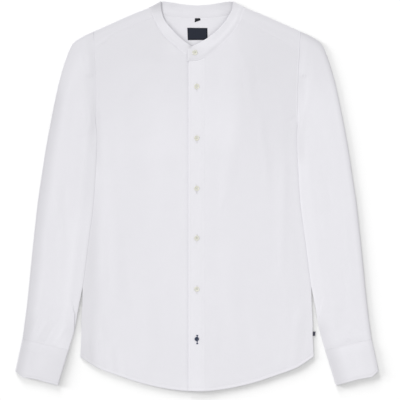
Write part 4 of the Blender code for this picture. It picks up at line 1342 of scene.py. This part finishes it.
def stitches_on(path, pitch=2.8, stitch=2.1, above=0.02):
    """Starts and ends of stitches at even steps along a path."""
    path = path + (0, 0, above)
    length = lengths(path[:, :2])[-1]
    first = np.arange(0.8, length - pitch, pitch)
    return at(path, first / length), at(path, (first + stitch) / length)


def sew(name, paths, **spacing):
    """All the stitches along some paths, as one piece."""
    pairs = [stitches_on(path, **spacing) for path in paths]
    strands(name, pairs, 0.16, white_thread)


def seam_line(piece, edge, distance, part=0):
    """The line on a piece where its stitches run."""
    return inset(surfaces[piece][part], edge, distance)


def upper_part(path, low_z, low_y=-400):
    """The stretch of a path that lies on an upper face."""
    return path[(path[:, 2] > low_z) & (path[:, 1] > low_y)]


band = surfaces["collar_band"][0]
half, behind = band.shape[1] // 2, FRONT_STATIONS + TURN_STATIONS
band_lines = [upper_part(inset(part, edge, distance), 2.0)
              for part in (band[:, :half], band[:, half:]) for edge, distance in BAND_ROWS]
band_lines += [inset(band[:, behind:-behind], edge, distance) + (0, 0, 1.2)
               for edge, distance in BAND_ROWS]
ARMHOLE_ROWS = [("front_left", "right", 0, 180), ("front_right", "left", 0, 180),
                ("yoke", "left", 0, 280), ("yoke", "right", 2, 280)]
sew("stitches_hem", [seam_line(piece, "bottom", HEM_STITCH)
                     for piece in ("front_left", "front_right", "placket")])
sew("stitches_placket", [seam_line("placket", "left", STITCH_IN),
                         seam_line("placket", "right", STITCH_IN + 0.2)])
sew("stitches_band", band_lines)
sew("stitches_yoke", [seam_line("yoke", "top", 2.0, part) for part in (0, 2)])
sew("stitches_armholes", [upper_part(seam_line(piece, edge, 6.4, part), 1.3, low_y)
                          for piece, edge, part, low_y in ARMHOLE_ROWS], pitch=3.0, above=0.0)
sew("stitches_cuffs", [inset(points, edge, distance)
                       for points in (surfaces["cuff_left"][0][:, 1:60],
                                      surfaces["cuff_right"][0][:, -60:-1])
                       for edge, distance in CUFF_ROWS])

# %% [markdown]
# ## Buttons and buttonholes
#
# A shirt button is turned: a raised rim, a dished middle and four holes. Its surface is a
# profile carried round the axis on a grid of rings and spokes, and each hole is a steep-sided
# pit in that grid. Thread bridges join the holes. A buttonhole is two rows of close satin
# stitches with a bar at both ends; it runs down the placket, but along the collar band.

# %% Buttons
BUTTON_X, BUTTON_YS, LAST_Y = -0.4, (218.9, 115.7, 15.5, -83.9, -185.5), -285.1
COLLAR_BUTTON = (-4.2, 286.5)
BUTTON_RADIUS, LAST_RADIUS, BUTTON_HEIGHT = 5.3, 4.4, 2.0
# The holes as shares of the radius: how far off, where a pit has its full depth, and its edge.
HOLE_OFF, HOLE_FLOOR, HOLE_EDGE, HOLE_DEPTH = 0.2, 0.085, 0.145, 1.1
THREADS_APART = 0.14  # half the space between the two threads of a pair of holes


def button_surface(radius, spokes=60):
    """z over the distance r from the axis: a dish, a slope up to the rim, a round edge, and
    a flat underside; minus a pit at each of the four holes."""
    h = BUTTON_HEIGHT
    dish = [(r, h - 0.5) for r in (0.005, 0.1, 0.2, 0.3, 0.4)]
    profile = smooth(dish + [(0.5, h - 0.48), (0.6, h - 0.42), (0.74, h - 0.12), (0.86, h),
                             (0.96, h * 0.86), (1, h * 0.55), (0.97, h * 0.24), (0.84, 0.02),
                             (0.4, 0.0), (0.005, 0.0)], 4)
    turn = np.linspace(0, 2 * np.pi, spokes, endpoint=False)
    x, y = (profile[:, :1] * radius * wave for wave in (np.cos(turn), np.sin(turn)))
    away = np.hypot(np.abs(x) - radius * HOLE_OFF, np.abs(y) - radius * HOLE_OFF)
    on_top = np.arange(len(profile))[:, None] < 9 * 4  # the profile's first nine stretches
    pit = on_top * HOLE_DEPTH * ease(away, radius * HOLE_EDGE, radius * HOLE_FLOOR)
    return stack(x, y, profile[:, 1:] - pit)


def make_button(node, centre, radius, rests_at, resin):
    """A button, and the starts and ends of the four threads that hold it."""
    points = button_surface(radius) + (*centre, rests_at)
    faces = grid_faces(*points.shape[:2], closed=True)[:, ::-1]
    obj = make_mesh("shell_" + node, points, faces)
    obj.modifiers.new("close", "WELD").merge_threshold = 0.00005
    dress(obj, resin, node)
    hole = radius * HOLE_OFF
    x = np.array([-hole - THREADS_APART, -hole + THREADS_APART, hole - THREADS_APART,
                  hole + THREADS_APART])
    lift = (*centre, rests_at + BUTTON_HEIGHT - 0.42)
    return stack(x, -hole, 0) + lift, stack(x, hole, 0) + lift


threads = [make_button("collar_button", COLLAR_BUTTON, BUTTON_RADIUS, OVER_LAP_TOP + SEAM,
                       ivory_resin)]
for number, y in enumerate(BUTTON_YS, start=1):
    threads.append(make_button(f"front_button_{number}", (BUTTON_X, y), BUTTON_RADIUS,
                               PLACKET_TOP + SEAM, ivory_resin))
last_thread = make_button("front_button_6", (BUTTON_X, LAST_Y), LAST_RADIUS,
                          PLACKET_TOP + SEAM, navy_resin)
strands("button_threads", threads, 0.17, white_thread, 1.5)
strands("last_button_thread", [last_thread], 0.17, navy_thread, 1.5)


# %% Buttonholes
def buttonhole(piece, x, y, aside=0.0, upright=True, low=-9.6, high=7.1, reach=1.05, bar=1.15):
    """Satin stitches on both sides of a slit, and a bar of longer ones across each end. They
    lie on the piece at x, y."""
    surface = surfaces[piece][0]
    nearest = np.argmin(np.hypot(surface[..., 0] - x, surface[..., 1] - y))
    centre = (x + aside, y, surface[..., 2].ravel()[nearest] + 0.02)
    along, bars = np.arange(low, high, 0.25), np.arange(-0.4, bar * 0.75, 0.3)
    bars = np.concatenate([low + bars, high - bars])
    order = [0, 1, 2] if upright else [1, 0, 2]
    tips = (np.vstack([stack(-out, along, 0), stack(out, along, 0), stack(bar_x, bars, 0.05)])
            for out, bar_x in ((0.08, -bar), (reach, bar)))
    return [tip[:, order] + centre for tip in tips]


holes = [buttonhole("placket", BUTTON_X, y) for y in BUTTON_YS]
holes.append(buttonhole("collar_band", *COLLAR_BUTTON, upright=False))
last_hole = buttonhole("placket", BUTTON_X, LAST_Y, 0.8, True, -10.0, 7.6, reach=1.2, bar=2.2)
strands("buttonholes", holes, 0.14, white_thread)
strands("last_buttonhole", [last_hole], 0.2, navy_thread)

# %% [markdown]
# ## Label, size tab and side tag
#
# Three small ribbons are sewn in: a navy label and a black tab inside the neck, and a folded
# tag in the side seam. They are bare, with only the plain woven border that such ribbons
# have. The label is stitched down all round, so its edges lie lower than its middle.


# %% Ribbons
def sewn_ribbon(node, left, bottom, right, top, finish, border):
    """A rectangle between four edge lines, each given at its two ends. Its height falls
    towards the edges, which are sewn down, and its border is darker."""
    u, v = close_at_ends(41, 0.7), close_at_ends(31, 0.7)[:, None]
    left, right, bottom, top = mix(*left, v), mix(*right, v), mix(*bottom, u), mix(*top, u)
    x, y = mix(left, right, u), mix(bottom, top, v)
    edge = np.minimum(np.minimum(x - left, right - x), np.minimum(y - bottom, top - y))
    z = 1.4 + 0.35 * ease(edge, 0, 3) + 0.05 * rumple(x, y, 7, 81)
    tint_and_painted_shade = 1 - 0.42 * (border > 0) * ease(edge, border + 0.4, border)
    make_shell("ribbon_" + node, [(stack(x, y, z), stack(x, y), tint_and_painted_shade)], 0.3, finish)


def make_side_tag():
    """A ribbon loop: a path out of the seam, round a half circle and back, swept along y."""
    leg, turn = np.linspace(231.7, 236.4, 12), np.radians(np.arange(20, 161, 20))
    out = np.concatenate([leg, 236.4 + 0.4 * np.sin(turn), leg[::-1]])
    up = np.concatenate([leg * 0 + 0.95, 0.55 + 0.4 * np.cos(turn), leg * 0 + 0.15])
    y = np.linspace(-279.4, -270.7, 21)[:, None]
    x, z = out - 0.2 + 0.12 * (y + 275), up + 0.06 * np.sin(y * 1.1)
    part = (stack(x, y, z), stack(x + 4 * (z < 0.5), y), 1.0)
    make_shell("ribbon_side_tag", [part], 0.1, tag_ribbon)


sewn_ribbon("neck_label", (-18.4, -19.4), (312.0, 312.2), (21.2, 20.8), (336.6, 336.2),
            navy_ribbon, 2.2)
sewn_ribbon("size_tab", (-4.6, -4.2), (347.6, 351.6), (6.8, 6.4), (355.6, 355.8),
            black_tape, 0)
make_side_tag()
label_edge = np.array([(-18.0, 312.9, 1.5), (20.5, 313.1, 1.5), (20.1, 335.5, 1.5),
                       (-18.7, 335.8, 1.5), (-18.0, 312.9, 1.5)])
strands("stitches_label", [stitches_on(label_edge, 1.6, 1.2, 0.0)], 0.14, navy_thread)

# %% [markdown]
# ## Stage, light and camera
#
# The shirt lies on a white table and is seen from straight above. The key light comes from the
# upper left, broad and low enough to model the folds. It lights the shirt alone, and shines
# through the buttons, so that no hard shadow falls beside them. Two lower lamps light the table
# alone and give the shirt a soft shadow there. A white room fills the rest.

# %% Stage, light and camera
BOARD = (0.802, 0.802, 0.802)


def make_table():
    """A level square of white board, 5 m wide, under the shirt."""
    x, y = np.meshgrid(np.linspace(-2500, 2500, 11), np.linspace(-2500, 2500, 11))
    made = make_mesh("table", stack(x, y, -0.3), grid_faces(11, 11))
    board, tree = start_material("white_board", {"Roughness": 0.9, "Specular IOR Level": 0.1})
    place = add_node(tree, "TexCoord", {}).outputs["Object"]
    tint(tree, BOARD, vary(tree, noise(tree, place, 40), 0.01))
    made.data.materials.append(board)
    return made


def add_sun(name, azimuth, elevation, strength, spread=18):
    """A distant lamp: azimuth counts from +X towards +Y, spread is its width in degrees."""
    light = bpy.data.lights.new(name, "SUN")
    light.energy, light.angle = strength, np.radians(spread)
    lamp = place_object(name, light)
    lamp.rotation_euler = (0, np.radians(90 - elevation), np.radians(azimuth))
    return lamp


def link_light(lamp, role, name, pieces, state):
    """Light linking: these pieces are the only ones (INCLUDE) or the only exceptions (EXCLUDE)
    among those that the lamp lights (receiver) or that stop its light (blocker)."""
    group = bpy.data.collections.new(name)
    for piece in pieces:
        group.objects.link(piece)
    for member in group.collection_objects:
        member.light_linking.link_state = state
    setattr(lamp.light_linking, role + "_collection", group)


table = make_table()
buttons = [piece for piece in bpy.data.objects if piece.name.startswith("shell_")]
key = add_sun("key light", 130, 34, 1.24)
link_light(key, "receiver", "not the table", [table], "EXCLUDE")
link_light(key, "blocker", "buttons", buttons, "EXCLUDE")
for name, direction, lit in (("table light above", (108, 12.2, 3.2), "table, from above"),
                             ("table light left", (160, 9, 4.4), "table, from the left")):
    link_light(add_sun(name, *direction), "receiver", lit, [table], "INCLUDE")

scene, room = bpy.context.scene, bpy.data.worlds.new("white room")
room.use_nodes = True
connect(room.node_tree, room.node_tree.nodes["Background"],
        {"Color": (1, 1, 1, 1), "Strength": 0.84})
scene.world = room
scene.view_settings.view_transform = "Standard"

lens = bpy.data.cameras.new("camera")
lens.lens, lens.sensor_width = 112.5, 36  # 0.8 m across at 2.5 m
scene.camera = place_object("camera", lens)
scene.camera.location = (0.006, -0.0077, 2.5)
print("camera:", tuple(round(c, 4) for c in scene.camera.location))

# %% [markdown]
# ## The cloth as sheets, and the end
#
# Every cloth piece is listed with the size that it was cut to, and with what it lies on.

# %% Sheets and the end
SHEETS = [  # piece, width and height of its cut, and what it lies on
    ("cloth_back", 478, 642, []),
    ("cloth_front_left", 226, 742, ["cloth_back"]),
    ("cloth_front_right", 254, 742, ["cloth_back"]),
    ("cloth_yoke", 414, 270, []),
    ("cloth_placket", 33, 663, ["cloth_front_right"]),
    ("cloth_collar_band", 440, 32, ["cloth_front_left", "cloth_front_right"]),
    ("cloth_sleeve_left", 330, 640, ["cloth_back"]),
    ("cloth_sleeve_right", 330, 640, ["cloth_back"]),
    ("cloth_cuff_left", 200, 76, ["cloth_sleeve_left"]),
    ("cloth_cuff_right", 200, 76, ["cloth_sleeve_right"]),
    ("ribbon_neck_label", 40.5, 24.4, ["cloth_yoke"]),
    ("ribbon_size_tab", 11.4, 10.2, ["cloth_yoke"]),
    ("ribbon_side_tag", 10.4, 11.0, ["cloth_back"]),
]
for piece in ("cloth_sleeve_", "cloth_cuff_"):  # both sides are cut by one pattern
    cuts[piece + "right"] = cuts[piece + "left"]
for name, width, height, lies_on in SHEETS:
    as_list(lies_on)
